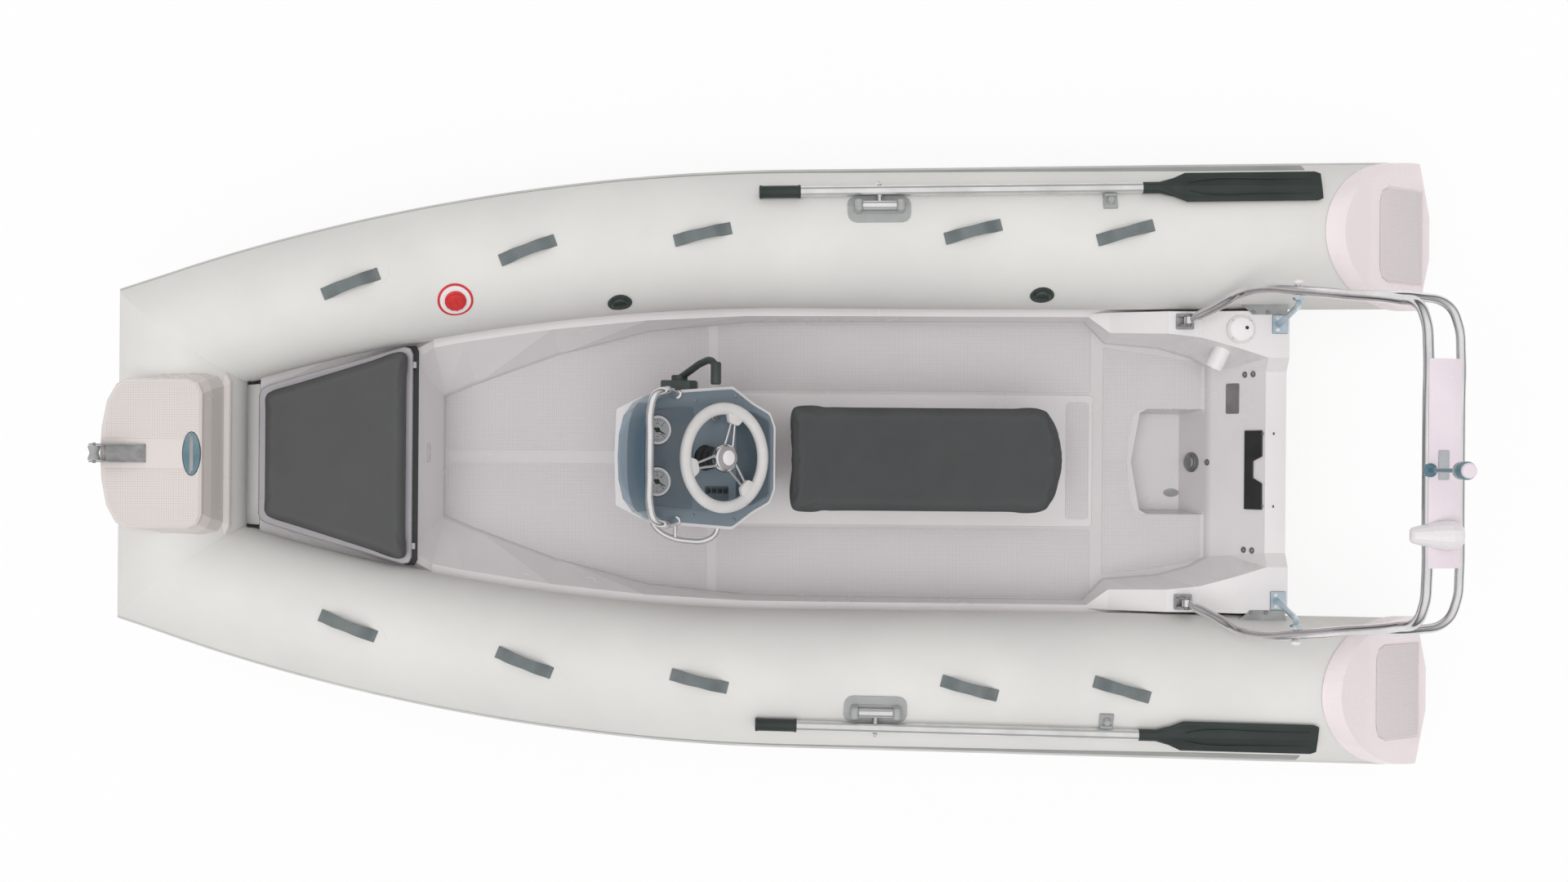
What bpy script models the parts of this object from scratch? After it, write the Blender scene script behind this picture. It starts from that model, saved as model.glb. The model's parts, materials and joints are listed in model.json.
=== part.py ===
"""Rigid inflatable boat of 4.3 m with a steering console, a folding arch and two stowed oars.

Metres. +X points to the stern, +Y to starboard and +Z up. The boat stands on its keel pad at
Z = 0, and X = 0, Y = 0 is the middle of its outer box.
"""
import math

import bmesh
import bpy
import numpy as np
from mathutils import Matrix, Vector

# Overall sizes
LENGTH = 4.310
BEAM = 2.000
GAP = 0.0003
HALF_LENGTH = LENGTH / 2

# Inflated tubes
TUBE_SIDES = 24
TUBE_RADIUS_STERN = 0.240
TUBE_RADIUS_BOW = 0.200
TUBE_AXIS_HEIGHT = 0.500
TUBE_SHEER = 0.200
SIDE_TAPER = 0.055
BOW_HALF_SPACING = 0.3815
FLARE_FROM = 0.50
FLARE_POWER = 2.0
TAPER_POWER = 1.5
TUBE_STRAIGHT_FROM = 2.000
ROLLER_REACH = 0.0045
FIRST_RING = -1.700
LAST_RING = 2.300
RING_COUNT = 13
RING_SPREAD = 1.35

# Rubbing strake
STRAKE_WIDTH = 0.036
STRAKE_THICK = 0.010
STRAKE_CLEAR = 0.006

# Tube end caps
CAP_TOP_BACK = 0.352
CAP_KNEE_HEIGHT = 0.450
CAP_WALL = 0.012
CAP_SKIRT = 0.040
CAP_LIP = 0.006
CAP_RECESS = 0.004
CAP_BULGE_ANGLE = math.radians(14.0)
CAP_BULGE_HALF = 0.070
TREAD_FRONT = 1.940
TREAD_LENGTH = 0.245
TREAD_HALF = 0.160
TREAD_CORNER = 0.050

# Hull moulding
HULL_WALL = 0.008
KEEL_PAD_HALF = 0.045
KEEL_RISE_FROM = -0.800
KEEL_RISE_POWER = 2.2
CHINE_DROP = 0.115
CHINE_DROP_BOW = 0.030
MITRE_CLEAR = 0.016
CHINE_FLAT = 0.028
CHINE_INSET = 0.012
RAIL_FLAT = 0.020
HULL_FLANGE = 0.014
TRANSOM_FOOT = 1.530
TRANSOM_RAKE = 0.231
TRANSOM_THICK = 0.045
STRINGER_OFFSET = 0.250
STRINGER_THICK = 0.020
STRINGER_FRONT = -0.620
CORE_CLEAR = 0.003
BOARD_CLEAR = 0.0008

# Deck liner
LINER_WALL = 0.006
FLOOR_HEIGHT = 0.300
FLOOR_HALF = 0.475
FLANGE_CLEAR = 0.003
FLANGE_LAP = 0.011
LINER_SEAT = 0.0012
SUMP_HALF = 0.165
SUMP_HEIGHT = 0.200
SUMP_FRONT = 1.185
SLOPE_FOOT = 1.436
SLOPE_RUN = 0.687
LIP_HEIGHT = 0.530
DECK_HEIGHT = 0.570
DECK_OUTER = 0.498
LINER_AFT = 1.662
RIM_HEIGHT = 0.625
LOCKER_FRONT = -1.712
BULKHEAD_TOP = -1.215
BULKHEAD_FOOT = -1.157

# Bow locker lid and cushion
LID_FRONT = -1.710
LID_AFT = -1.212
LID_HALF_FRONT = 0.222
LID_HALF_AFT = 0.358
LID_THICK = 0.030
CUSHION_THICK = 0.062
CUSHION_FLAT = 0.020

# Bow step, roller and cleat
STEP_TOP = 0.972
STEP_FRONT = -2.128
STEP_AFT = -1.812
STEP_HALF = 0.234
STEP_FOOT_HALF = 0.274
STEP_FOOT = 0.795
STEP_FOOT_FRONT = -2.040
ROLLER_RADIUS = 0.019
ROLLER_WIDTH = 0.046
ROLLER_PIN_RADIUS = 0.005
CHANNEL_WALL = 0.004
CHANNEL_LENGTH = 0.160
CHEEK_HEIGHT = 0.046
CLEAT_X = -1.842
CLEAT_LONG = 0.137
CLEAT_WIDE = 0.056
CLEAT_PLATE = 0.006
CLEAT_STEM = 0.007
CLEAT_TRAVEL = 0.045

# Console, dash and screen
CONSOLE_FLOOR = FLOOR_HEIGHT
SHOULDER_DROP = 0.255
DASH_FRONT_X = -0.445
DASH_FRONT_HEIGHT = 0.935
DASH_SLOPE = 0.453
CONSOLE_WALL = 0.006
CONSOLE_AFT = -0.028
DASH_THICK = 0.005
DASH_INSET = 0.014
SCREEN_RISE = 0.205
SCREEN_WALL = 0.005
RAIL_RADIUS = 0.0125
RAIL_RISE = 0.022
RAIL_X = -0.403
RAIL_HALF = 0.203
GAUGE_RADIUS = 0.043
GAUGE_OFFSET = 0.081
GAUGE_X = -0.392

# Steering wheel and helm
WHEEL_X = -0.186
WHEEL_RISE = 0.1023
WHEEL_TILT = math.radians(40.0)
WHEEL_RADIUS = 0.156
RIM_RADIUS = 0.0165
HUB_RADIUS = 0.032
HUB_HIGH = 0.020
HUB_LOW = -0.014
HELM_PIN = 0.007
SPOKE_RISE = 0.006
SPOKE_FALL = 0.008
SPOKE_TURN = 193.0

# Throttle
THROTTLE_X = -0.335
THROTTLE_DROP = 0.135
THROTTLE_SIDE = 0.245
GRIP_RADIUS = 0.014

# Seat
SEAT_FRONT = 0.013
SEAT_AFT = 0.918
SEAT_HALF = 0.181
SEAT_TOP = 0.680
SEAT_THICK = 0.080
SEAT_BULGE = 0.045
SEAT_WALL = 0.006

# Oars and rowlocks
ROWLOCK_X = 0.295
ROWLOCK_ANGLE = math.radians(69.6)
ROWLOCK_LENGTH = 0.205
ROWLOCK_WIDTH = 0.095
ROWLOCK_RISE = 0.024
BARREL_RADIUS = 0.015
BARREL_LENGTH = 0.108
PIN_RADIUS = 0.005
SHAFT_RADIUS = 0.0175
OAR_REACH = 0.052
OAR_TOE = math.radians(1.8)
OAR_PITCH = math.radians(0.9)
GRIP_END = -0.385
GRIP_LENGTH = 0.130
GRIP_RADIUS_OAR = 0.0195
SHAFT_END = 0.850
BLADE_HALF = 0.0525
CLIP_ALONG = 0.747

# Arch
ARCH_RADIUS = 0.016
REAR_HOOP_RADIUS = 0.014
FOOT_X = 1.324
FOOT_SIDE = 0.464
FOOT_DECK = 0.530
FOOT_AXIS_HEIGHT = 0.600
LOCK_PIN_RADIUS = 0.005
STRUT_X = 1.616
STRUT_SIDE = 0.455
ARCH_TOP = 1.470
FRONT_BAR_X = 1.852
REAR_BAR_X = 1.957
REAR_BAR_HEIGHT = 1.435
PANEL_HALF = 0.300
POD_FRONT = 1.797
POD_LENGTH = 0.155
POD_HALF = 0.044
POD_HIGH = 0.050

parts = None
cutters = None


def clear_scene():
    """Removes what a new file holds and makes the two collections."""
    global parts, cutters
    for thing in list(bpy.data.objects):
        bpy.data.objects.remove(thing)
    parts = bpy.data.collections.new("rigid_inflatable_boat")
    cutters = bpy.data.collections.new("cutters")
    bpy.context.scene.collection.children.link(parts)
    bpy.context.scene.collection.children.link(cutters)


def finish(name, colour, roughness, metallic=0.0):
    """A plain Principled material, made once."""
    made = bpy.data.materials.get(name)
    if made is None:
        made = bpy.data.materials.new(name)
        made.use_nodes = True
        shader = made.node_tree.nodes["Principled BSDF"]
        shader.inputs["Base Color"].default_value = (*colour, 1.0)
        shader.inputs["Roughness"].default_value = roughness
        shader.inputs["Metallic"].default_value = metallic
    return made


def tube_fabric():
    return finish("tube_fabric", (0.72, 0.71, 0.69), 0.55)


def gelcoat():
    return finish("gelcoat", (0.82, 0.79, 0.78), 0.25)


def strap_rubber():
    return finish("strap_rubber", (0.16, 0.18, 0.19), 0.6)


def pale_rubber():
    return finish("pale_rubber", (0.42, 0.43, 0.42), 0.6)


def oar_plastic():
    return finish("oar_plastic", (0.06, 0.075, 0.07), 0.5)


def oar_alloy():
    return finish("oar_alloy", (0.75, 0.75, 0.74), 0.35, 1.0)


def stainless():
    return finish("stainless", (0.72, 0.71, 0.72), 0.15, 1.0)


def vinyl():
    return finish("vinyl", (0.075, 0.085, 0.085), 0.6)


def dash_plastic():
    return finish("dash_plastic", (0.12, 0.16, 0.20), 0.35)


def black_plastic():
    return finish("black_plastic", (0.02, 0.022, 0.022), 0.5)


def tinted_screen():
    return finish("tinted_screen", (0.20, 0.32, 0.40), 0.1)


def wheel_plastic():
    return finish("wheel_plastic", (0.74, 0.73, 0.72), 0.45)


def marine_ply():
    return finish("marine_ply", (0.45, 0.33, 0.20), 0.7)


def strake_rubber():
    return finish("strake_rubber", (0.35, 0.36, 0.35), 0.6)


def add_object(name, mesh, material, location=(0, 0, 0)):
    """A named part in the boat's collection."""
    made = bpy.data.objects.new(name, mesh)
    made.location = location
    mesh.materials.clear()
    mesh.materials.append(material)
    parts.objects.link(made)
    return made


def add_cutter(name, mesh, location=(0, 0, 0)):
    """A helper that shapes other parts and isn't a part itself."""
    made = bpy.data.objects.new(name, mesh)
    made.location = location
    made.hide_render = True
    made.display_type = "WIRE"
    cutters.objects.link(made)
    return made


def to_mesh(shape, name, origin=(0, 0, 0)):
    """Turns a bmesh into a mesh whose faces point out, measured from its origin."""
    bmesh.ops.recalc_face_normals(shape, faces=shape.faces)
    bmesh.ops.translate(shape, verts=shape.verts, vec=-Vector(origin))
    mesh = bpy.data.meshes.new(name)
    shape.to_mesh(mesh)
    shape.free()
    return mesh


def loft(rings):
    """A closed solid through rings of equally many points."""
    shape = bmesh.new()
    levels = [[shape.verts.new(point) for point in ring] for ring in rings]
    count = len(rings[0])
    for lower, upper in zip(levels, levels[1:]):
        for k in range(count):
            after = (k + 1) % count
            shape.faces.new((lower[k], lower[after], upper[after], upper[k]))
    shape.faces.new(levels[0])
    shape.faces.new(levels[-1])
    return shape


def sheet_mesh(name, rows):
    """An open surface through rows of points, with its normals up for rows that run aft and out."""
    mesh = bpy.data.meshes.new(name)
    width = len(rows[0])
    points = [tuple(point) for row in rows for point in row]
    faces = []
    for i in range(len(rows) - 1):
        for j in range(width - 1):
            near = i * width + j
            far = near + width
            faces.append((near, far, far + 1, near + 1))
    mesh.from_pydata(points, [], faces)
    return mesh


def prism(outline, low, high):
    """A flat outline in X and Y, raised from one height to another."""
    return loft([[(x, y, low) for x, y in outline], [(x, y, high) for x, y in outline]])


def side_prism(outline, left, right):
    """An outline in X and Z, drawn across the boat from one Y to another."""
    return loft([[(x, left, z) for x, z in outline], [(x, right, z) for x, z in outline]])


def mirrored(half):
    """A closed outline from its starboard half, which starts and ends on the middle line."""
    port = [(x, -y) for x, y in reversed(half) if abs(y) > 1e-6]
    return list(half) + port


def arc(centre, radius, start, end, count):
    """Points on an arc, with the angles in degrees."""
    angles = [math.radians(start + (end - start) * k / (count - 1)) for k in range(count)]
    return [(centre[0] + radius * math.cos(a), centre[1] + radius * math.sin(a)) for a in angles]


def cylinder_shape(radius, low, high, sides=24, top_radius=None):
    """A bmesh cylinder or cone on the Z axis between two heights."""
    shape = bmesh.new()
    bmesh.ops.create_cone(
        shape,
        cap_ends=True,
        segments=sides,
        radius1=radius,
        radius2=radius if top_radius is None else top_radius,
        depth=high - low,
        matrix=Matrix.Translation((0, 0, (low + high) / 2)),
    )
    return shape


def box_shape(size, centre):
    """A bmesh box."""
    shape = bmesh.new()
    scale = Matrix.Diagonal((*size, 1.0))
    bmesh.ops.create_cube(shape, size=1.0, matrix=Matrix.Translation(centre) @ scale)
    return shape


def turned(shape, matrix):
    """Moves a bmesh by a matrix."""
    bmesh.ops.transform(shape, matrix=matrix, verts=shape.verts)
    return shape


def rounded(part, width, segments=2, angle=40.0):
    """Rounds a part's edges."""
    bevel = part.modifiers.new("edges", "BEVEL")
    bevel.width = width
    bevel.segments = segments
    bevel.limit_method = "ANGLE"
    bevel.angle_limit = math.radians(angle)
    return part


def cut(part, cutter, operation="DIFFERENCE"):
    """Cuts a part with a helper, or joins one to it."""
    boolean = part.modifiers.new(operation.lower(), "BOOLEAN")
    boolean.operation = operation
    boolean.object = cutter
    boolean.solver = "EXACT"
    return part


def thicken(part, wall):
    """Gives an open surface its wall, on the side away from its normals."""
    solid = part.modifiers.new("wall", "SOLIDIFY")
    solid.thickness = wall
    solid.offset = -1.0
    solid.use_even_offset = True
    return part


def both_sides(part):
    """Completes a starboard half that is open on the middle line."""
    mirror = part.modifiers.new("both_sides", "MIRROR")
    mirror.use_axis = (False, True, False)
    mirror.merge_threshold = 0.0001
    return part


def smooth(part, angle=35.0):
    """Shades a round part smooth, with its hard edges kept."""
    part.data.shade_smooth()
    part.data.set_sharp_from_angle(angle=math.radians(angle))
    return part


def smooth_route(points, steps):
    """Points on a smooth curve through the given ones."""
    knots = [Vector(p) for p in points]
    knots = [2 * knots[0] - knots[1]] + knots + [2 * knots[-1] - knots[-2]]
    route = []
    for a, b, c, d in zip(knots, knots[1:], knots[2:], knots[3:]):
        for k in range(steps):
            t = k / steps
            bend = 2 * b + (c - a) * t + (2 * a - 5 * b + 4 * c - d) * t * t
            route.append((bend + (3 * b - a - 3 * c + d) * t**3) / 2)
    return route + [knots[-2]]


def pipe_mesh(name, points, radius, resolution=3):
    """A round bar along points, closed at both ends."""
    curve = bpy.data.curves.new(name, "CURVE")
    curve.dimensions = "3D"
    curve.bevel_depth = radius
    curve.bevel_resolution = resolution
    curve.use_fill_caps = True
    spline = curve.splines.new("POLY")
    spline.points.add(len(points) - 1)
    for knot, point in zip(spline.points, points):
        knot.co = (*point, 1.0)
    holder = bpy.data.objects.new(name, curve)
    bpy.context.scene.collection.objects.link(holder)
    graph = bpy.context.evaluated_depsgraph_get()
    mesh = bpy.data.meshes.new_from_object(holder.evaluated_get(graph))
    bpy.data.objects.remove(holder)
    bpy.data.curves.remove(curve)
    shape = bmesh.new()
    shape.from_mesh(mesh)
    bmesh.ops.remove_doubles(shape, verts=shape.verts, dist=0.00005)
    bpy.data.meshes.remove(mesh)
    return to_mesh(shape, name)


def flip_side(points, side):
    """The same points on the starboard side (1) or the port side (-1)."""
    return [(x, side * y, z) for x, y, z in points]


SIDES = (("starboard", 1), ("port", -1))


# The tubes' axes and rings

STEM_FACE = -HALF_LENGTH + ROLLER_REACH
FACET = math.cos(math.pi / TUBE_SIDES)
BOW_AXIS_X = STEM_FACE + (TUBE_RADIUS_BOW * FACET) + STRAKE_THICK + GAP
STERN_HALF_SPACING = BEAM / 2 - STRAKE_THICK - GAP - TUBE_RADIUS_STERN * FACET
BOW_FLARE = STERN_HALF_SPACING - SIDE_TAPER - BOW_HALF_SPACING
BOW_AXIS_HEIGHT = TUBE_AXIS_HEIGHT + TUBE_SHEER
CAP_TOP_X = HALF_LENGTH - CAP_TOP_BACK


def along(x):
    """0 where the tubes run straight at the stern, 1 at the axis of the bow tube."""
    return (TUBE_STRAIGHT_FROM - x) / (TUBE_STRAIGHT_FROM - BOW_AXIS_X)


def tube_radius(x):
    taper = max(along(x), 0.0) ** TAPER_POWER
    return TUBE_RADIUS_STERN + (TUBE_RADIUS_BOW - TUBE_RADIUS_STERN) * taper


def tube_axis(x, side):
    """Centre of a side tube's section at x."""
    u = along(x)
    flare = max((u - FLARE_FROM) / (1 - FLARE_FROM), 0.0)
    half = STERN_HALF_SPACING - SIDE_TAPER * u - BOW_FLARE * flare**FLARE_POWER
    lift = max(u, 0.0)
    rise = lift**5 * (6 - 5 * lift)
    return Vector((x, side * half, TUBE_AXIS_HEIGHT + TUBE_SHEER * rise))


def tube_frame(x, side):
    """Centre, aft direction, outboard direction and up direction of a side tube at x."""
    step = 0.0005
    aft = (tube_axis(x + step, side) - tube_axis(x - step, side)).normalized()
    out = Vector((-aft.y, aft.x, 0.0)).normalized() * side
    up = aft.cross(out) * side
    return tube_axis(x, side), aft, out, up


def ring_angles():
    return [(k + 0.5) * 2 * math.pi / TUBE_SIDES for k in range(TUBE_SIDES)]


def round_angles(count):
    return [2 * math.pi * k / count for k in range(count)]


def side_ring(x, side, extra=0.0):
    """Points round a side tube, from outboard over the top."""
    centre, _, out, up = tube_frame(x, side)
    radius = tube_radius(x) + extra
    return [centre + radius * (math.cos(a) * out + math.sin(a) * up) for a in ring_angles()]


def mitre_ring(side, run, out, extra=0.0):
    """Where a tube that runs along a direction from the bow corner meets the mitre plane.

    The spaces that the tubes take up, drawn with some extra radius, overlap there.
    """
    inboard = Vector((0, -side, 0))
    aft = tube_frame(BOW_AXIS_X, side)[1]
    normal = (inboard - aft).normalized()
    inward = normal if run.dot(normal) > 0 else -normal
    corner = tube_axis(BOW_AXIS_X, side)
    plane = corner + inward * (-0.002 if extra else GAP / 2)
    radius = TUBE_RADIUS_BOW + extra
    ring = []
    for a in ring_angles():
        base = corner + radius * (math.cos(a) * out + math.sin(a) * Vector((0, 0, 1)))
        ring.append(base - run * ((base - plane).dot(normal) / run.dot(normal)))
    return ring


def ring_places():
    """X of the rings of a side tube, closer together at the bow."""
    span = LAST_RING - FIRST_RING
    return [FIRST_RING + span * (i / (RING_COUNT - 1)) ** RING_SPREAD for i in range(RING_COUNT)]


def side_rings(side, extra=0.0):
    """All rings of a side tube from the bow mitre to past the stern."""
    _, aft, out, _ = tube_frame(BOW_AXIS_X, side)
    rings = [mitre_ring(side, aft, out, extra)]
    return rings + [side_ring(x, side, extra) for x in ring_places()]


def trim(shape, point, normal):
    """Cuts away what lies beyond a plane and closes the cut."""
    geometry = shape.verts[:] + shape.edges[:] + shape.faces[:]
    bmesh.ops.bisect_plane(
        shape, geom=geometry, plane_co=point, plane_no=normal, clear_outer=True
    )
    bmesh.ops.holes_fill(shape, edges=shape.edges)
    return shape


def slope_normal():
    """Direction in which the oblique face of an end cap looks."""
    run = CAP_TOP_BACK
    fall = TUBE_AXIS_HEIGHT + TUBE_RADIUS_STERN - CAP_KNEE_HEIGHT
    return Vector((fall, 0, run)).normalized()


def stern_form(side, extra, inset, start=None):
    """A side tube whose stern is cut by the oblique face and the short upright one below it."""
    rings = side_rings(side, extra)
    if start is not None:
        rings = [side_ring(start, side, extra)] + [side_ring(x, side, extra) for x in
                                                   ring_places() if x > start + 0.02]
    shape = loft(rings)
    normal = slope_normal()
    knee = Vector((HALF_LENGTH, tube_axis(HALF_LENGTH, side).y, CAP_KNEE_HEIGHT))
    trim(shape, knee - normal * inset, normal)
    trim(shape, knee - Vector((inset, 0, 0)), Vector((1, 0, 0)))
    for turn in (-1, 1):
        look = Vector((math.cos(CAP_BULGE_ANGLE), turn * math.sin(CAP_BULGE_ANGLE), 0))
        edge = knee + Vector((0, turn * CAP_BULGE_HALF, 0))
        trim(shape, edge - look * inset, look)
    return shape


def cap_drop():
    """How far the oblique face falls for each metre it runs aft."""
    return (TUBE_AXIS_HEIGHT + TUBE_RADIUS_STERN - CAP_KNEE_HEIGHT) / CAP_TOP_BACK


def tread_outline():
    """Plan of the tread in a cap's oblique face, with its upper corners cut."""
    wide, corner = TREAD_HALF, TREAD_CORNER
    half = [(0.0, 0.0), (0.0, wide - corner), (0.3 * corner, wide - 0.3 * corner),
            (corner, wide), (TREAD_LENGTH, wide), (TREAD_LENGTH, 0.0)]
    return mirrored(half)


def tread_frame(side):
    """On the oblique face, with X down the slope and Z out of it."""
    normal = slope_normal()
    high = CAP_KNEE_HEIGHT + (HALF_LENGTH - TREAD_FRONT) * cap_drop()
    origin = Vector((TREAD_FRONT, tube_axis(TREAD_FRONT, side).y, high))
    return placed(origin, Vector((normal.z, 0, -normal.x)), Vector((0, 1, 0)), normal)


def build_tubes():
    """Starboard and port tubes, and the straight bow tube between them."""
    for name, side in SIDES:
        mesh = to_mesh(stern_form(side, 0.0, CAP_WALL + GAP), f"tube_{name}")
        smooth(add_object(f"tube_{name}", mesh, tube_fabric()))
        add_cutter(f"space_of_tube_{name}", to_mesh(loft(side_rings(side, GAP)), "space"))
        add_cutter(f"skin_of_tube_{name}", to_mesh(loft(side_rings(side, 0.003)), "skin"))
    ahead = Vector((-1, 0, 0))
    rings = [mitre_ring(side, Vector((0, -side, 0)), ahead) for _, side in SIDES]
    smooth(add_object("tube_bow", to_mesh(loft(rings), "tube_bow"), tube_fabric()))
    ends = [mitre_ring(side, Vector((0, -side, 0)), ahead, GAP) for _, side in SIDES]
    add_cutter("space_of_tube_bow", to_mesh(loft(ends), "space"))


def build_end_caps():
    """A dished plate with a skirt round each tube's stern, and a recess for its tread."""
    for name, side in SIDES:
        start = CAP_TOP_X - 0.10
        mesh = to_mesh(stern_form(side, CAP_LIP, 0.0, start), f"end_cap_{name}")
        cap = smooth(add_object(f"end_cap_{name}", mesh, gelcoat()))
        inner = stern_form(side, GAP, CAP_WALL, start - 0.1)
        cut(cap, add_cutter(f"inside_of_cap_{name}", to_mesh(inner, "inside")))
        ahead = stern_form(side, 0.05, CAP_SKIRT, start - 0.1)
        cut(cap, add_cutter(f"ahead_of_skirt_{name}", to_mesh(ahead, "ahead")))
        tread = to_mesh(prism(tread_outline(), -CAP_RECESS, 0.03), "tread")
        cut(cap, set_frame(add_cutter(f"tread_recess_{name}", tread), tread_frame(side)))


def strake_section():
    """Half-round profile: how far out from the facet, and how high."""
    half = STRAKE_WIDTH / 2
    return [(0, -half), (0.6 * STRAKE_THICK, -half), (STRAKE_THICK, -0.4 * half),
            (STRAKE_THICK, 0.4 * half), (0.6 * STRAKE_THICK, half), (0, half)]


def strake_ring(centre, out, up, radius):
    base = centre + out * (radius * FACET + GAP)
    return [base + out * far + up * high for far, high in strake_section()]


def strake_end():
    """X where the strake stops, just ahead of the skirt of the end cap."""
    back = (TUBE_AXIS_HEIGHT + STRAKE_WIDTH / 2 - CAP_KNEE_HEIGHT) / cap_drop()
    return HALF_LENGTH - back - CAP_SKIRT / slope_normal().x - STRAKE_CLEAR


def build_rub_strake():
    """One rubber profile along the widest line of the tubes, mitred at the bow corners."""
    rings = []
    for _, side in SIDES:
        walk = []
        for x in ring_places():
            if x < HALF_LENGTH:
                centre, _, out, up = tube_frame(x, side)
                walk.append(strake_ring(centre, out, up, tube_radius(x)))
        end = strake_end()
        centre, _, out, up = tube_frame(end, side)
        walk = [ring for ring in walk if ring[0].x < end - 0.05]
        walk.append(strake_ring(centre, out, up, tube_radius(end)))
        corner = tube_axis(BOW_AXIS_X, side)
        _, aft, out, _ = tube_frame(BOW_AXIS_X, side)
        normal = (Vector((0, -side, 0)) - aft).normalized()
        ring = strake_ring(corner, out, Vector((0, 0, 1)), TUBE_RADIUS_BOW)
        ring = [p - aft * ((p - corner).dot(normal) / aft.dot(normal)) for p in ring]
        walk.insert(0, ring)
        rings.append(walk)
    starboard, port = rings
    smooth(add_object("rub_strake", to_mesh(loft(starboard[::-1] + port), "rub_strake"),
                      strake_rubber()))


# The hull moulding

SEAT_EDGES = (16, 15, 14, 13)


def tube_edge(index):
    """One long edge of the starboard tube's space, from the bow mitre aft."""
    return [ring[index] for ring in side_rings(1, 2 * GAP)]


def on_edge(index, x):
    """The point of such an edge at x."""
    line = tube_edge(index)
    places = [p.x for p in line]
    return Vector((x, np.interp(x, places, [p.y for p in line]),
                   np.interp(x, places, [p.z for p in line])))


def keel_height(x):
    rise = max((KEEL_RISE_FROM - x) / (KEEL_RISE_FROM - under_bow().x), 0.0)
    return (under_bow().z - CHINE_DROP_BOW) * rise**KEEL_RISE_POWER


def under_bow():
    """Where the stem meets the underside of the bow tube."""
    return tube_edge(SEAT_EDGES[0])[0]


def fade(x):
    """0 at the stem, 1 where the chine has its full depth."""
    t = min(max((x - under_bow().x) / 1.4, 0.0), 1.0)
    return t * t * (3 - 2 * t)


def hull_row(x, seat):
    """Starboard half of a hull section, from the keel to the flange under the liner."""
    low = seat[0]
    depth = fade(x)
    keel = keel_height(x)
    chine = low.z - CHINE_DROP_BOW - (CHINE_DROP - CHINE_DROP_BOW) * depth
    outer = low.y - CHINE_INSET
    inner = outer - CHINE_FLAT * (0.3 + 0.7 * depth)
    pad = KEEL_PAD_HALF * (0.5 + 0.5 * depth)
    rail = (pad + inner) / 2
    rail_height = (keel + chine) / 2
    flat = RAIL_FLAT * (0.3 + 0.7 * depth)
    across = [(0.0, keel), (pad, keel), (rail, rail_height), (rail + flat, rail_height),
              (inner, chine), (outer, chine)]
    row = [Vector((x, y, z)) for y, z in across] + list(seat)
    top = seat[-1]
    return row + [Vector((top.x, top.y - HULL_FLANGE, top.z))]


def transom_x(z):
    return TRANSOM_FOOT + TRANSOM_RAKE * z


def hull_rows():
    """Sections from the stem to the raked end of the hull."""
    lines = [tube_edge(k) for k in SEAT_EDGES]
    seat = [on_edge(k, line[0].x + MITRE_CLEAR) for k, line in zip(SEAT_EDGES, lines)]
    rows = [hull_row(under_bow().x, seat)]
    for i, x in enumerate(ring_places()):
        if x < TRANSOM_FOOT - 0.1:
            rows.append(hull_row(x, [line[i + 1] for line in lines]))
    last = hull_row(TRANSOM_FOOT, [on_edge(k, transom_x(0.35)) for k in SEAT_EDGES])
    ends = []
    for k, point in enumerate(last):
        x = transom_x(point.z)
        if 6 <= k < 10:
            ends.append(on_edge(SEAT_EDGES[k - 6], x))
        else:
            ends.append(Vector((x, point.y, point.z)))
    return rows + [ends]


def build_hull():
    """The V bottom with its keel pad, spray rails, chines and the seats for the tubes."""
    rows = [row[::-1] for row in hull_rows()]
    hull = add_object("hull_shell", sheet_mesh("hull_shell", rows), gelcoat())
    thicken(both_sides(hull), HULL_WALL)


def inside_row(row):
    """A closed section of the room inside the hull's wall, up past the side decks."""
    half = [Vector((p.y, p.z)) for p in row]
    clear = HULL_WALL + 3 * CORE_CLEAR
    offset = [(row[0].x, 0.0, half[0].y + clear)]
    for k in range(1, len(half)):
        after = half[min(k + 1, len(half) - 1)]
        normals = []
        for a, b in ((half[k - 1], half[k]), (half[k], after)):
            if (b - a).length > 1e-6:
                run = (b - a).normalized()
                normals.append(Vector((-run.y, run.x)))
        normal = (normals[0] + normals[-1]).normalized()
        point = half[k] + normal * clear / max(normal.dot(normals[0]), 0.5)
        offset.append((row[k].x, point.x, point.y))
    last = offset[-1]
    side = DECK_OUTER - LINER_WALL - 2 * GAP
    edge = min(last[1] - clear, side)
    offset += [(last[0], edge, last[2]), (last[0], edge, 0.800)]
    return offset + [(x, -y, z) for x, y, z in offset[:0:-1]]


def board_outline():
    """Starboard half of the transom board as height and half width, before it's fitted."""
    high = DECK_HEIGHT - LINER_WALL - BOARD_CLEAR
    low = LIP_HEIGHT - LINER_WALL - BOARD_CLEAR
    return [(low, 0.0), (low, 0.304), (high, 0.360), (high, 0.700), (-0.050, 0.700),
            (-0.050, 0.0)]


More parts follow.
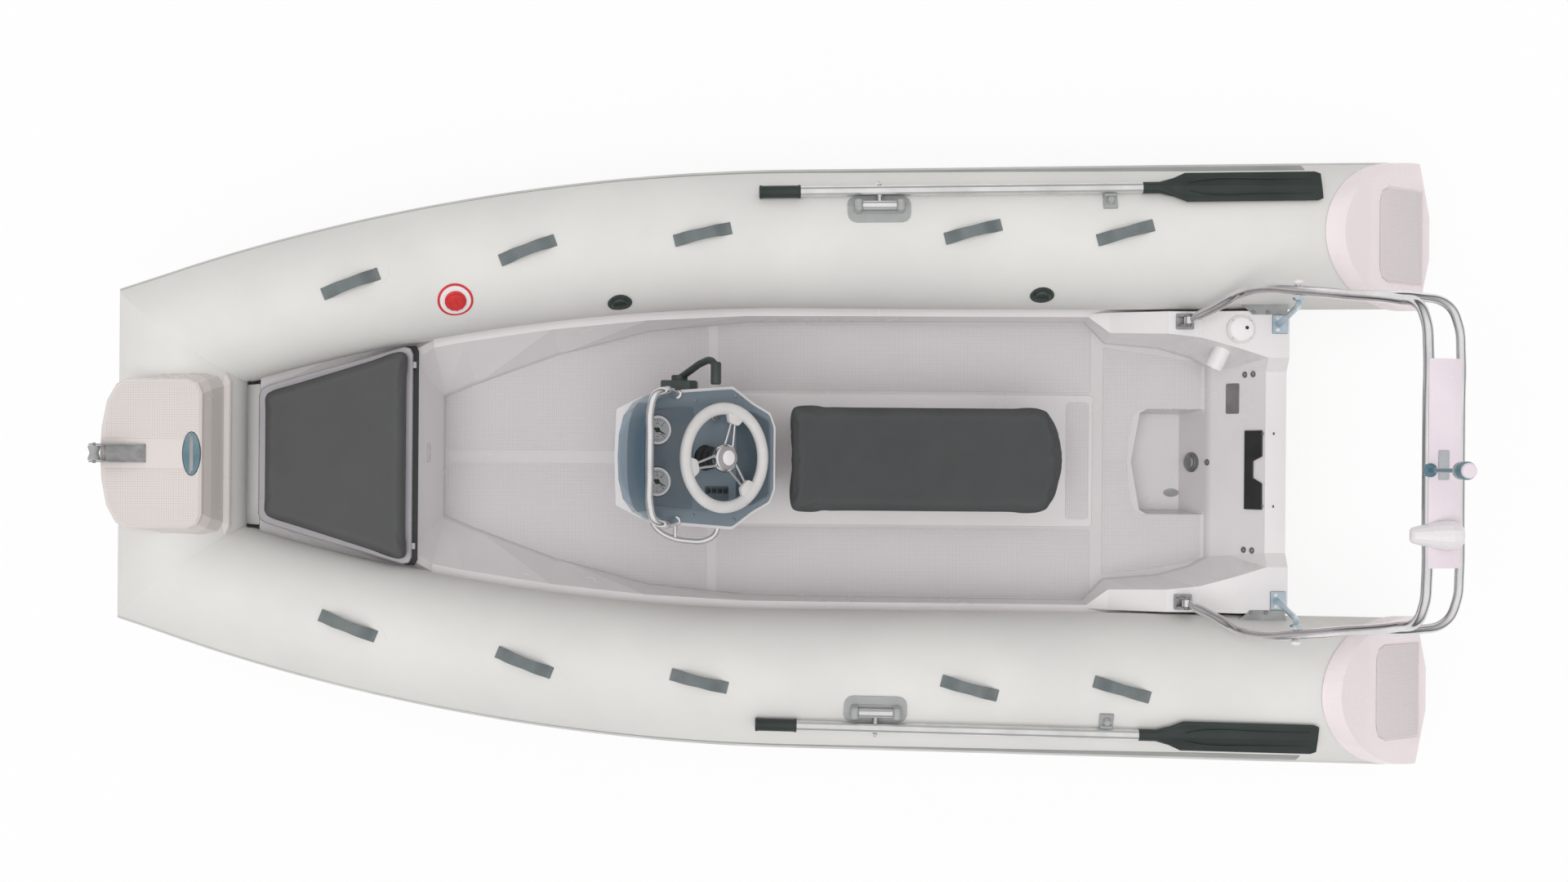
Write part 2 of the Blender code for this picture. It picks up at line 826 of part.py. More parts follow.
def build_transom():
    """The transom board and the stringers that brace it."""
    outline = mirrored(board_outline())
    rings = [[(transom_x(z) - back, y, z) for z, y in outline] for back in
             (0.001, TRANSOM_THICK)]
    board = add_object("transom_and_stringers", to_mesh(loft(rings), "transom"), marine_ply())
    aft = TRANSOM_FOOT - TRANSOM_THICK / 2
    size = (aft - STRINGER_FRONT, STRINGER_THICK, FLOOR_HEIGHT - LINER_WALL - CORE_CLEAR)
    for name, side in SIDES:
        middle = (STRINGER_FRONT + size[0] / 2, side * STRINGER_OFFSET, size[2] / 2)
        beam = add_cutter(f"stringer_{name}", to_mesh(box_shape(size, middle), "stringer"))
        cut(board, beam, "UNION")
    rows = [row for row in hull_rows() if row[0].x > STRINGER_FRONT - 0.40]
    beyond = [point + Vector((0.05, 0, 0)) for point in rows[-1]]
    room = loft([inside_row(row) for row in rows + [beyond]])
    cut(board, add_cutter("room_inside_hull", to_mesh(room, "room")), "INTERSECT")


# The deck liner

FLOOR_EDGE = ((LOCKER_FRONT, 0.190), (-1.660, 0.185), (-1.262, 0.260), (BULKHEAD_TOP, 0.310),
              (BULKHEAD_FOOT, 0.200))
SLOPE_TOP = SLOPE_FOOT + SLOPE_RUN * (LIP_HEIGHT - FLOOR_HEIGHT)
AFT_FLOOR_EDGE = ((1.020, FLOOR_HALF), (1.090, 0.400), (1.270, 0.386), (1.380, 0.355),
                  (SLOPE_FOOT, 0.325), (SLOPE_TOP, 0.300), (LINER_AFT, 0.300))
DECK_EDGE = ((1.090, 0.430), (1.270, 0.424), (1.380, 0.412), (SLOPE_FOOT, 0.395),
             (SLOPE_TOP, 0.345), (LINER_AFT, 0.345))
DECK_RISE = ((1.090, 0.440), (1.270, FOOT_DECK), (1.380, FOOT_DECK), (1.500, DECK_HEIGHT),
             (LINER_AFT, DECK_HEIGHT))


def read_off(table, x):
    return float(np.interp(x, [p[0] for p in table], [p[1] for p in table]))


def floor_edge(x):
    """Half width of the floor at x."""
    if x < BULKHEAD_FOOT:
        return read_off(FLOOR_EDGE, x)
    if x > AFT_FLOOR_EDGE[0][0]:
        return read_off(AFT_FLOOR_EDGE, x)
    narrow = max((-0.100 - x) / (-0.100 - BULKHEAD_FOOT), 0.0)
    return FLOOR_HALF - (FLOOR_HALF - 0.200) * narrow**1.7


def floor_level(x):
    """Height of the liner on the middle line, without the sump."""
    if x < -1.690 or -1.245 < x < BULKHEAD_FOOT - 0.01:
        return RIM_HEIGHT
    if x < -1.245:
        return 0.440
    return min(max(FLOOR_HEIGHT + (x - SLOPE_FOOT) / SLOPE_RUN, FLOOR_HEIGHT), LIP_HEIGHT)


def liner_top(x, seat):
    """Inner edge, outer edge and height of the strip between the floor and the tube."""
    if x < BULKHEAD_TOP + 0.01:
        return seat.y - 0.055, seat.y - 0.040, RIM_HEIGHT
    if x < AFT_FLOOR_EDGE[0][0] + 0.01:
        return seat.y - 0.036, seat.y - 0.026, seat.z + LINER_WALL + LINER_SEAT
    return read_off(DECK_EDGE, x), DECK_OUTER, read_off(DECK_RISE, x)


def liner_row(x):
    """Starboard half of a section of the liner, from the middle line to the tube."""
    seat = on_edge(SEAT_EDGES[-1], x)
    edge = floor_edge(x)
    level = floor_level(x)
    inner, outer, height = liner_top(x, seat)
    edge = min(edge, inner - 0.012)
    sump = min(SUMP_HALF, 0.75 * edge)
    rim = min(SUMP_HALF + 0.015, 0.85 * edge)
    bottom = level
    back = 0.0
    if SUMP_FRONT + 0.01 < x < SLOPE_FOOT - 0.001:
        bottom = max(SUMP_HEIGHT, FLOOR_HEIGHT + (x - SLOPE_FOOT) / SLOPE_RUN)
    if SUMP_FRONT - 0.001 < x < SUMP_FRONT + 0.02:
        back = 0.030
    foot = seat.z + LINER_WALL + LINER_SEAT
    return [(x, 0.0, bottom), (x + back, sump, bottom), (x + 1.3 * back, rim, level),
            (x, edge, level), (x, inner, height), (x, outer, height),
            (x, seat.y - FLANGE_LAP, foot), (x, seat.y - FLANGE_CLEAR, foot)]


def liner_stations():
    """X of the liner's sections: those of the hull's upper edge, and its own features."""
    features = [LOCKER_FRONT, -1.692, -1.672, -1.262, -1.240, BULKHEAD_TOP, BULKHEAD_FOOT,
                1.020, 1.090, 1.270, 1.380, 1.500, SLOPE_TOP, LINER_AFT, SUMP_FRONT,
                SUMP_FRONT + 0.015, SLOPE_FOOT - SLOPE_RUN * (FLOOR_HEIGHT - SUMP_HEIGHT),
                SLOPE_FOOT]
    edge = [p.x for p in tube_edge(SEAT_EDGES[-1])]
    shared = [x for x in edge if LOCKER_FRONT + 0.03 < x < LINER_AFT - 0.02]
    clear = [x for x in features if min(abs(x - s) for s in shared) > 0.004]
    return sorted(clear + shared)


def build_liner():
    """Floor, bow locker, sump, side decks and the inner face of the transom in one moulding."""
    rows = [liner_row(x) for x in liner_stations()]
    liner = add_object("deck_liner", sheet_mesh("deck_liner", rows), gelcoat())
    thicken(both_sides(liner), LINER_WALL)


# Pieces that stand on the tubes

def facet_radius(angle, radius):
    """Distance from a tube's axis to its faceted skin."""
    step = 2 * math.pi / TUBE_SIDES
    off = (angle + step / 2) % step - step / 2
    return radius * FACET / math.cos(off)


def placed(origin, x, y, z):
    """A matrix from an origin and three axes."""
    return Matrix.Translation(origin) @ Matrix((x, y, z)).transposed().to_4x4()


def on_tube(x, angle, side, toe=0.0):
    """A frame on a side tube's skin: X aft, Y to starboard, Z straight out of the skin."""
    centre, aft, out, up = tube_frame(x, side)
    normal = math.cos(angle) * out + math.sin(angle) * up
    origin = centre + normal * facet_radius(angle, tube_radius(x))
    frame = placed(origin, aft, normal.cross(aft), normal)
    return frame @ Matrix.Rotation(side * toe, 4, "Z")


def oval(length, width, count=20):
    """A closed oval outline in X and Y."""
    return [(length / 2 * math.cos(2 * math.pi * k / count),
             width / 2 * math.sin(2 * math.pi * k / count)) for k in range(count)]


def set_frame(part, frame):
    part.matrix_world = frame
    return part


def glued(part, side_name):
    """Keeps of a patch only what lies on the tube's skin."""
    return cut(part, bpy.data.objects[f"skin_of_tube_{side_name}"], "INTERSECT")


def off_tube(part, side_name):
    return cut(part, bpy.data.objects[f"space_of_tube_{side_name}"])


def strap_outline():
    """Side view of a moulded grab strap, from its aft foot over the top."""
    high = [(0.094, -0.010), (0.094, 0.007), (0.074, 0.013), (0.050, 0.029), (0.026, 0.035)]
    low = [(-0.022, 0.0285), (-0.046, 0.0225), (-0.064, 0.006), (-0.064, -0.010)]
    return high + [(-x, z) for x, z in high[::-1]] + low[::-1] + [(-x, z) for x, z in low]


def build_grab_handle(name, side, number, x, angle, toe):
    """An arched rubber strap on its oval patch."""
    label = f"grab_handle_{name}_{number}"
    frame = on_tube(x, math.radians(angle), side, math.radians(toe))
    patch = add_object(label, to_mesh(prism(oval(0.250, 0.090), -0.03, 0.03), label),
                       strap_rubber())
    set_frame(patch, frame)
    glued(patch, name)
    strap = add_cutter(f"strap_of_{label}",
                       to_mesh(side_prism(strap_outline(), -0.020, 0.020), "strap"))
    cut(patch, set_frame(strap, frame), "UNION")
    off_tube(patch, name)


HANDLES = ((-1.396, 91.6, 8), (-0.845, 89.4, 13), (-0.282, 89.4, 10), (0.599, 89.6, 14),
           (1.092, 91.1, 15))


def build_handles():
    for name, side in SIDES:
        for number, (x, angle, toe) in enumerate(HANDLES, 1):
            build_grab_handle(name, side, number, x, angle, toe)


def lathe(name, profile, sides=16):
    """A turned solid on the Z axis, its profile given from the top down."""
    mesh = bpy.data.meshes.new(name)
    closed = profile[0] == profile[-1]
    points = profile[:-1] if closed else profile
    edges = [(k, k + 1) for k in range(len(points) - 1)]
    if closed:
        edges.append((len(points) - 1, 0))
    mesh.from_pydata([(r, 0.0, z) for r, z in points], edges, [])
    return mesh, sides


def spun(part, sides):
    """Turns a part's profile once round its Z axis."""
    screw = part.modifiers.new("turned", "SCREW")
    screw.steps = sides
    screw.render_steps = sides
    screw.use_merge_vertices = True
    screw.merge_threshold = 0.00005
    screw.use_smooth_shade = True
    return part


def turned_part(name, profile, material, frame, sides=16):
    mesh, sides = lathe(name, profile, sides)
    return set_frame(spun(add_object(name, mesh, material), sides), frame)


def turned_cutter(name, profile, frame, sides=16):
    mesh, sides = lathe(name, profile, sides)
    return set_frame(spun(add_cutter(name, mesh), sides), frame)


def build_relief_valve():
    """Pressure relief valve on its round patch."""
    frame = on_tube(-1.095, math.radians(123.6), 1)
    patch = to_mesh(prism(oval(0.116, 0.116), -0.03, 0.03), "relief_valve")
    valve = set_frame(add_object("relief_valve", patch, pale_rubber()), frame)
    glued(valve, "starboard")
    body = [(0.0, 0.012), (0.016, 0.012), (0.019, 0.016), (0.025, 0.016), (0.030, 0.011),
            (0.030, 0.007), (0.037, 0.006), (0.038, -0.02), (0.0, -0.02)]
    cut(valve, turned_cutter("relief_valve_body", body, frame), "UNION")
    off_tube(valve, "starboard")


def build_valve_cap(name, x, angle):
    """Screw cap of an inflation valve, with its finger lug."""
    frame = on_tube(x, math.radians(angle), 1)
    flange = to_mesh(prism(oval(0.080, 0.080), -0.03, 0.03), name)
    cap = set_frame(add_object(name, flange, black_plastic()), frame)
    glued(cap, "starboard")
    body = [(0.0, 0.013), (0.024, 0.013), (0.028, 0.009), (0.030, -0.02), (0.0, -0.02)]
    cut(cap, turned_cutter(f"{name}_body", body, frame), "UNION")
    lug = box_shape((0.040, 0.009, 0.010), (0, 0, 0.0155))
    cut(cap, set_frame(add_cutter(f"{name}_lug", to_mesh(lug, "lug")), frame), "UNION")
    off_tube(cap, "starboard")


# Oars and rowlocks

def rowlock_frame(side):
    """On the tube's skin under the rowlock."""
    return on_tube(ROWLOCK_X, ROWLOCK_ANGLE, side)


def barrel_frame(side):
    """Middle of the rowlock's barrel, X along it."""
    return rowlock_frame(side) @ Matrix.Translation((0, 0, ROWLOCK_RISE))


def oar_frame(side):
    """On the barrel's axis, with X along the oar and Y along the pin."""
    barrel = barrel_frame(side)
    pin = barrel.col[1].to_3d()
    level = Vector((math.cos(OAR_TOE), side * math.sin(OAR_TOE), -math.sin(OAR_PITCH)))
    run = (level - pin * level.dot(pin)).normalized()
    return placed(barrel.translation, run, pin, run.cross(pin))


def along_x(low, high, radius, offset=(0, 0), sides=16, top_radius=None):
    """A round bar along X between two places."""
    shape = cylinder_shape(radius, low, high, sides, top_radius)
    swap = Matrix(((0, 0, 1, 0), (1, 0, 0, offset[0]), (0, 1, 0, offset[1]), (0, 0, 0, 1)))
    return turned(shape, swap)


def along_y(low, high, radius, offset=(0, 0), sides=16):
    """A round bar along Y between two places."""
    shape = cylinder_shape(radius, low, high, sides)
    swap = Matrix(((0, 1, 0, offset[0]), (0, 0, 1, 0), (1, 0, 0, offset[1]), (0, 0, 0, 1)))
    return turned(shape, swap)


JOURNAL_RADIUS = 0.006
JOURNAL_END = 0.076
BLOCK_INSIDE = BARREL_LENGTH / 2 + 0.0010
BLOCK_OUTSIDE = 0.080
PAD_HEIGHT = 0.0055
JOURNAL_CLEAR = 0.0004


def rowlock_outline():
    half = ROWLOCK_LENGTH / 2
    wide = ROWLOCK_WIDTH / 2
    corner = 0.030
    points = []
    for x, y, start in ((half, wide, 0), (-half, wide, 90), (-half, -wide, 180),
                        (half, -wide, 270)):
        middle = (x - math.copysign(corner, x), y - math.copysign(corner, y))
        points += arc(middle, corner, start, start + 90, 4)
    return points


def build_rowlock(name, side):
    """Rubber pad with two bearing blocks, and the barrel with its pin that turns in them."""
    frame = rowlock_frame(side)
    label = f"rowlock_pad_{name}"
    pad = add_object(label, to_mesh(prism(rowlock_outline(), -0.03, 0.03), label),
                     pale_rubber())
    glued(set_frame(pad, frame), name)
    trough = box_shape((2 * BLOCK_OUTSIDE - 0.02, 0.040, 0.026), (0, 0, PAD_HEIGHT - 0.013))
    trough = add_cutter(f"{label}_trough", to_mesh(trough, "trough"))
    cut(pad, set_frame(trough, frame), "UNION")
    for end in (-1, 1):
        middle = end * (BLOCK_INSIDE + BLOCK_OUTSIDE) / 2
        size = (BLOCK_OUTSIDE - BLOCK_INSIDE, 0.040, ROWLOCK_RISE + 0.026)
        block = box_shape(size, (middle, 0, size[2] / 2 - 0.012))
        block = add_cutter(f"{label}_block_{end}", to_mesh(block, "block"))
        cut(pad, rounded(set_frame(block, frame), 0.006, 1), "UNION")
    bore = along_x(-BLOCK_OUTSIDE - 0.01, BLOCK_OUTSIDE + 0.01, JOURNAL_RADIUS + JOURNAL_CLEAR,
                   (0, ROWLOCK_RISE), 16)
    cut(pad, set_frame(add_cutter(f"{label}_bore", to_mesh(bore, "bore")), frame))
    off_tube(pad, name)

    label = f"rowlock_pivot_{name}"
    axle = barrel_frame(side)
    half = BARREL_LENGTH / 2
    barrel = add_object(label, to_mesh(along_x(-half, half, BARREL_RADIUS), label), stainless())
    set_frame(barrel, axle)
    journals = along_x(-JOURNAL_END, JOURNAL_END, JOURNAL_RADIUS, sides=16)
    outer = OAR_REACH + SHAFT_RADIUS
    pieces = [journals,
              along_y(*sorted((0, side * (outer + 0.014))), PIN_RADIUS, sides=16),
              along_y(*sorted((0, side * (OAR_REACH - SHAFT_RADIUS - 0.0008))), 0.010),
              along_y(*sorted((side * (outer + 0.0008), side * (outer + 0.009))), 0.0095,
                      sides=6)]
    for k, shape in enumerate(pieces):
        piece = set_frame(add_cutter(f"{label}_{k}", to_mesh(shape, "piece")), axle)
        cut(barrel, piece, "UNION")


BLADE_SECTIONS = ((0.0, 0.019, 0.019, 0.0), (0.055, 0.0195, 0.0175, 0.0),
                  (0.100, 0.033, 0.0085, 0.005), (0.140, BLADE_HALF, 0.0050, 0.006),
                  (0.400, BLADE_HALF, 0.0040, 0.004), (0.562, BLADE_HALF, 0.0035, 0.002),
                  (0.580, 0.045, 0.0030, 0.001))


def blade_section(x, half, thick, rib):
    """Closed section of a blade; a round sleeve where it's as thick as wide."""
    ring = []
    for k in range(16):
        a = 2 * math.pi * k / 16
        flat = 1.0 if half < 0.02 else 0.62
        y = half * math.copysign(abs(math.cos(a)) ** flat, math.cos(a))
        z = thick * math.copysign(abs(math.sin(a)) ** flat, math.sin(a))
        if k in (4, 12):
            z += math.copysign(rib, math.sin(a))
        ring.append((x, y, z))
    return ring


def build_oar(name, side):
    """Alloy shaft with its grip, the blade on its end, and the clip that holds it."""
    frame = oar_frame(side)
    reach = side * OAR_REACH
    label = f"oar_shaft_{name}"
    grip = GRIP_END + GRIP_LENGTH
    stations = ((GRIP_END, 0.015), (GRIP_END + 0.004, GRIP_RADIUS_OAR),
                (grip - 0.003, GRIP_RADIUS_OAR), (grip, SHAFT_RADIUS), (-0.030, SHAFT_RADIUS),
                (0.030, SHAFT_RADIUS), (SHAFT_END, SHAFT_RADIUS))
    rings = [[(x, reach + radius * math.cos(a), radius * math.sin(a)) for a in round_angles(16)]
             for x, radius in stations]
    shaft = add_object(label, to_mesh(loft(rings), label), oar_alloy())
    smooth(set_frame(shaft, frame))
    hole = along_y(reach - 0.03, reach + 0.03, PIN_RADIUS + GAP, sides=16)
    cut(shaft, set_frame(add_cutter(f"{label}_hole", to_mesh(hole, "hole")), frame))

    label = f"oar_blade_{name}"
    start = SHAFT_END + GAP
    rings = [blade_section(start + x, half, thick, rib) for x, half, thick, rib in
             BLADE_SECTIONS]
    blade = turned(loft(rings), Matrix.Translation((0, reach, 0)))
    smooth(set_frame(add_object(label, to_mesh(blade, label), oar_plastic()), frame), 50.0)

    label = f"oar_clip_{name}"
    spot = frame @ Vector((CLIP_ALONG, reach, 0))
    centre, _, out, up = tube_frame(spot.x, side)
    angle = math.atan2((spot - centre).dot(up), (spot - centre).dot(out))
    seat = on_tube(spot.x, angle, side)
    rise = (spot - seat.translation).length
    base = box_shape((0.046, 0.088, 0.026), (0, -side * 0.014, -0.006))
    clip = set_frame(add_object(label, to_mesh(base, label), pale_rubber()), seat)
    rounded(clip, 0.003, 2)
    saddle = box_shape((0.040, 0.048, rise + 0.004), (0, 0, rise / 2 - 0.008))
    saddle = set_frame(add_cutter(f"{label}_saddle", to_mesh(saddle, "saddle")), seat)
    cut(clip, rounded(saddle, 0.003, 1), "UNION")
    knob = cylinder_shape(0.0105, 0.0, 0.028, 16)
    knob = turned(knob, Matrix.Translation((0, -side * 0.043, 0)))
    knob = set_frame(add_cutter(f"{label}_knob", to_mesh(knob, "knob")), seat)
    cut(clip, rounded(knob, 0.002, 2), "UNION")
    space = along_x(CLIP_ALONG - 0.05, CLIP_ALONG + 0.05, SHAFT_RADIUS + GAP, (reach, 0), 24)
    cut(clip, set_frame(add_cutter(f"{label}_space", to_mesh(space, "space")), frame))
    off_tube(clip, name)


# Bow

def step_ring(front, aft, half, height, corner):
    """Plan of the bow step at one height, convex in front."""
    crown = min(0.5 * half, 0.05)
    points = [(front, 0.0), (front + 0.10 * crown, 0.35 * half),
              (front + 0.42 * crown, 0.70 * half), (front + crown, half - 0.018),
              (front + crown + 0.035, half), (aft - corner, half),
              (aft - 0.3 * corner, half - 0.3 * corner), (aft, half - corner), (aft, 0.0)]
    return [(x, y, height) for x, y in mirrored(points)]


def bow_skin(height, clear):
    """X of the aft side of the bow tube's skin at a height."""
    drop = height - BOW_AXIS_HEIGHT
    return BOW_AXIS_X + math.sqrt((TUBE_RADIUS_BOW + clear) ** 2 - drop**2)


def build_bow_step():
    """Moulded step on the bow tube, with the well of its cleat."""
    foot = bow_skin(STEP_FOOT, 0.004)
    rings = [step_ring(STEP_FOOT_FRONT, foot, STEP_FOOT_HALF, STEP_FOOT, 0.045),
             step_ring(STEP_FOOT_FRONT, foot, STEP_FOOT_HALF, STEP_FOOT + 0.018, 0.045),
             step_ring(STEP_FOOT_FRONT, STEP_AFT + 0.032, STEP_FOOT_HALF - 0.014,
                       STEP_FOOT + 0.030, 0.045),
             step_ring(STEP_FOOT_FRONT, STEP_AFT + 0.016, STEP_FOOT_HALF - 0.026,
                       STEP_TOP - 0.060, 0.045),
             step_ring(STEP_FRONT, STEP_AFT + 0.004, STEP_HALF, STEP_TOP - 0.022, 0.045),
             step_ring(STEP_FRONT, STEP_AFT, STEP_HALF, STEP_TOP, 0.045)]
    step = add_object("bow_step", to_mesh(loft(rings), "bow_step"), gelcoat())
    rounded(step, 0.005, 1, 50.0)
    for spot in ("starboard", "port"):
        off_tube(step, spot)
    cut(step, bpy.data.objects["space_of_tube_bow"])
    well = prism([(CLEAT_X + y, x) for x, y in oval(CLEAT_LONG + 0.003, CLEAT_WIDE + 0.003)],
                 STEP_TOP - CLEAT_PLATE - GAP, STEP_TOP + 0.02)
    cut(step, add_cutter("cleat_recess", to_mesh(well, "recess")))
    hole = turned(cylinder_shape(CLEAT_STEM + 0.0005, STEP_TOP - 0.062, STEP_TOP, 16),
                  Matrix.Translation((CLEAT_X, 0, 0)))
    cut(step, add_cutter("cleat_hole", to_mesh(hole, "hole")))


def build_cleat():
    """Oval mooring cleat on a stem; it's pulled up to take a line."""
    top = STEP_TOP + 0.0012
    origin = (CLEAT_X, 0, STEP_TOP)
    plate = prism([(CLEAT_X + y, x) for x, y in oval(CLEAT_LONG, CLEAT_WIDE, 28)],
                  top - CLEAT_PLATE - 0.0010, top)
    cleat = add_object("bow_cleat", to_mesh(plate, "bow_cleat", origin), stainless(), origin)
    rounded(cleat, 0.0015, 1)
    stem = cylinder_shape(CLEAT_STEM, -0.058, -0.004, 16)
    cut(cleat, add_cutter("cleat_stem", to_mesh(stem, "stem"), origin), "UNION")


ROLLER_X = -HALF_LENGTH + ROLLER_RADIUS
ROLLER_HEIGHT = STEP_TOP + CHANNEL_WALL + ROLLER_RADIUS + 0.004


def build_roller():
    """Anchor roller that turns on a pin between the cheeks of its bracket."""
    inside = ROLLER_WIDTH / 2 + 0.0015
    outside = inside + CHANNEL_WALL
    base = STEP_TOP + GAP
    plate = box_shape((0.128, 2 * outside, CHANNEL_WALL), (-2.048, 0, base + CHANNEL_WALL / 2))
    bracket = add_object("bow_roller_bracket", to_mesh(plate, "bow_roller_bracket"), stainless())
    tip = arc((ROLLER_X, ROLLER_HEIGHT), 0.0165, 90, 250, 6)
    cheek = [(-1.986, base), (-1.986, base + 0.008), (-2.040, base + 0.020),
             (-2.085, base + CHEEK_HEIGHT)] + tip + [(-2.112, base)]
    for end in (-1, 1):
        low, high = sorted((end * inside, end * outside))
        side = to_mesh(side_prism(cheek, low, high), "cheek")
        cut(bracket, add_cutter(f"roller_cheek_{end}", side), "UNION")
    pin = along_y(-outside - 0.003, outside + 0.003, ROLLER_PIN_RADIUS,
                  (ROLLER_X, ROLLER_HEIGHT), 16)
    cut(bracket, add_cutter("roller_pin", to_mesh(pin, "pin")), "UNION")
    half = ROLLER_WIDTH / 2
    bore = ROLLER_PIN_RADIUS + 0.0005
    profile = [(bore, half), (ROLLER_RADIUS - 0.001, half), (ROLLER_RADIUS, half - 0.003),
               (ROLLER_RADIUS, half - 0.006), (0.0135, 0.0), (ROLLER_RADIUS, 0.006 - half),
               (ROLLER_RADIUS, 0.003 - half), (ROLLER_RADIUS - 0.001, -half), (bore, -half),
               (bore, half)]
    axle = placed(Vector((ROLLER_X, 0, ROLLER_HEIGHT)), Vector((0, 0, -1)),
                  Vector((-1, 0, 0)), Vector((0, 1, 0)))
    turned_part("bow_roller", profile, black_plastic(), axle)


def lid_outline(inset=0.0):
    """Plan of the bow locker lid, widening aft."""
    front, aft = LID_FRONT + inset, LID_AFT - inset
    wide_front, wide_aft = LID_HALF_FRONT - inset, LID_HALF_AFT - inset
    run = (aft - front) / 3
    spread = (wide_aft - wide_front) / 3
    half = [(front, 0.0), (front, 0.5 * wide_front), (front, wide_front - 0.026),
            (front + 0.008, wide_front - 0.008), (front + 0.028, wide_front + 0.003)]
    half += [(front + k * run, wide_front + k * spread) for k in (1, 2)]
    half += [(aft - 0.030, wide_aft - 0.005), (aft - 0.008, wide_aft - 0.008),
             (aft, wide_aft - 0.028), (aft, 0.5 * wide_aft), (aft, 0.0)]
    return mirrored(half)


def shrunk(outline, amount):
    """A convex outline moved inward by an amount."""
    result = []
    count = len(outline)
    area = sum(a[0] * b[1] - b[0] * a[1] for a, b in zip(outline, outline[1:] + outline[:1]))
    turn = math.copysign(1.0, area)
    for k in range(count):
        before, here, after = (Vector(outline[j % count]) for j in (k - 1, k, k + 1))
        first = (here - before).normalized()
        second = (after - here).normalized()
        normal = Vector((-first.y - second.y, first.x + second.x)) * turn
        normal.normalize()
        spread = max(normal.dot(Vector((-first.y, first.x)) * turn), 0.5)
        result.append(tuple(here + normal * amount / spread))
    return result


def drawn_in(outline, amount):
    """An outline scaled about its middle so that its ends and sides move in by an amount."""
    places = [sorted(p[k] for p in outline) for k in (0, 1)]
    middle = [(line[0] + line[-1]) / 2 for line in places]
    scale = [1 - 2 * amount / (line[-1] - line[0]) for line in places]
    return [tuple(middle[k] + (p[k] - middle[k]) * scale[k] for k in (0, 1)) for p in outline]


def cushion_mesh(name, outline, low, high, origin, crown=0.006):
    """Coarse cage of a stuffed cushion: drawn in below, a welt round its top, a crown."""
    levels = ((0.060, low), (CUSHION_FLAT, low), (0.006, low + 0.001), (0.000, low + 0.020),
              (0.001, high - 0.016), (0.014, high - 0.002), (0.024, high - 0.006),
              (0.036, high - 0.001), (0.100, high + crown))
    rings = [[(x, y, z) for x, y in drawn_in(outline, inset)] for inset, z in levels]
    return to_mesh(loft(rings), name, origin)


def softened(part):
    """Rounds a cushion's cage."""
    form = part.modifiers.new("stuffing", "SUBSURF")
    form.levels = 1
    form.render_levels = 1
    part.data.shade_smooth()
    return part


LID_LOW = RIM_HEIGHT + GAP
LID_HIGH = LID_LOW + LID_THICK
LOCKER_HINGE = (LID_AFT + 0.0045, 0.0, (LID_LOW + LID_HIGH) / 2)


def build_locker():
    """Lid of the bow locker with its hinge barrels, and the cushion on it."""
    lid = prism(lid_outline(), LID_LOW, LID_HIGH)
    lid = add_object("locker_lid", to_mesh(lid, "locker_lid", LOCKER_HINGE), gelcoat(),
                     LOCKER_HINGE)
    rounded(lid, 0.004, 1)
    for name, side in SIDES:
        low, high = sorted((side * 0.285, side * 0.305))
        barrel = to_mesh(along_y(low, high, 0.007), "barrel")
        cut(lid, add_cutter(f"lid_hinge_{name}", barrel, LOCKER_HINGE), "UNION")
    mesh = cushion_mesh("bow_cushion", lid_outline(0.003), LID_HIGH + GAP,
                        LID_HIGH + GAP + CUSHION_THICK, LOCKER_HINGE)
    softened(add_object("bow_cushion", mesh, vinyl(), LOCKER_HINGE))


# Console

CONSOLE_HALF = ((-0.530, 0.0), (-0.525, 0.150), (-0.420, 0.205), (-0.165, 0.228),
                (-0.100, 0.178), (-0.045, 0.145), (CONSOLE_AFT, 0.100), (CONSOLE_AFT, 0.0))
CONSOLE_FOOT_HALF = ((-0.500, 0.0), (-0.495, 0.120), (-0.410, 0.160), (-0.170, 0.170),
                     (-0.115, 0.150), (-0.075, 0.120), (-0.060, 0.080), (-0.060, 0.0))
CONSOLE_SHOULDER = DASH_FRONT_HEIGHT - SHOULDER_DROP
CONSOLE_CEILING = DASH_FRONT_HEIGHT + 0.165


def dash_height(x):
    """Height of the console's top at x."""
    return DASH_FRONT_HEIGHT - DASH_SLOPE * max(x - DASH_FRONT_X, 0.0)


def console_form(inset, low, high=CONSOLE_CEILING):
    """The console's plan at its foot, its shoulder and above its top."""
    foot = shrunk(mirrored(CONSOLE_FOOT_HALF), inset)
    top = shrunk(mirrored(CONSOLE_HALF), inset)
    floor = CONSOLE_FLOOR + GAP
    levels = [(foot, floor), (top, CONSOLE_SHOULDER), (top, high)]
    if low < floor:
        levels.insert(0, (foot, low))
    return loft([[(x, y, z) for x, y in plan] for plan, z in levels])


def above_dash(drop):
    """All that lies above the console's top, moved by a height."""
    ends = (-0.80, DASH_FRONT_X, 0.30)
    outline = [(x, dash_height(x) + drop) for x in ends]
    return side_prism(outline + [(0.30, 1.3), (-0.80, 1.3)], -0.5, 0.5)


def below_dash(rise):
    """All that lies below the console's top, moved by a height."""
    ends = (-0.80, DASH_FRONT_X, 0.30)
    outline = [(x, dash_height(x) + rise) for x in ends]
    return side_prism(outline + [(0.30, 0.2), (-0.80, 0.2)], -0.5, 0.5)


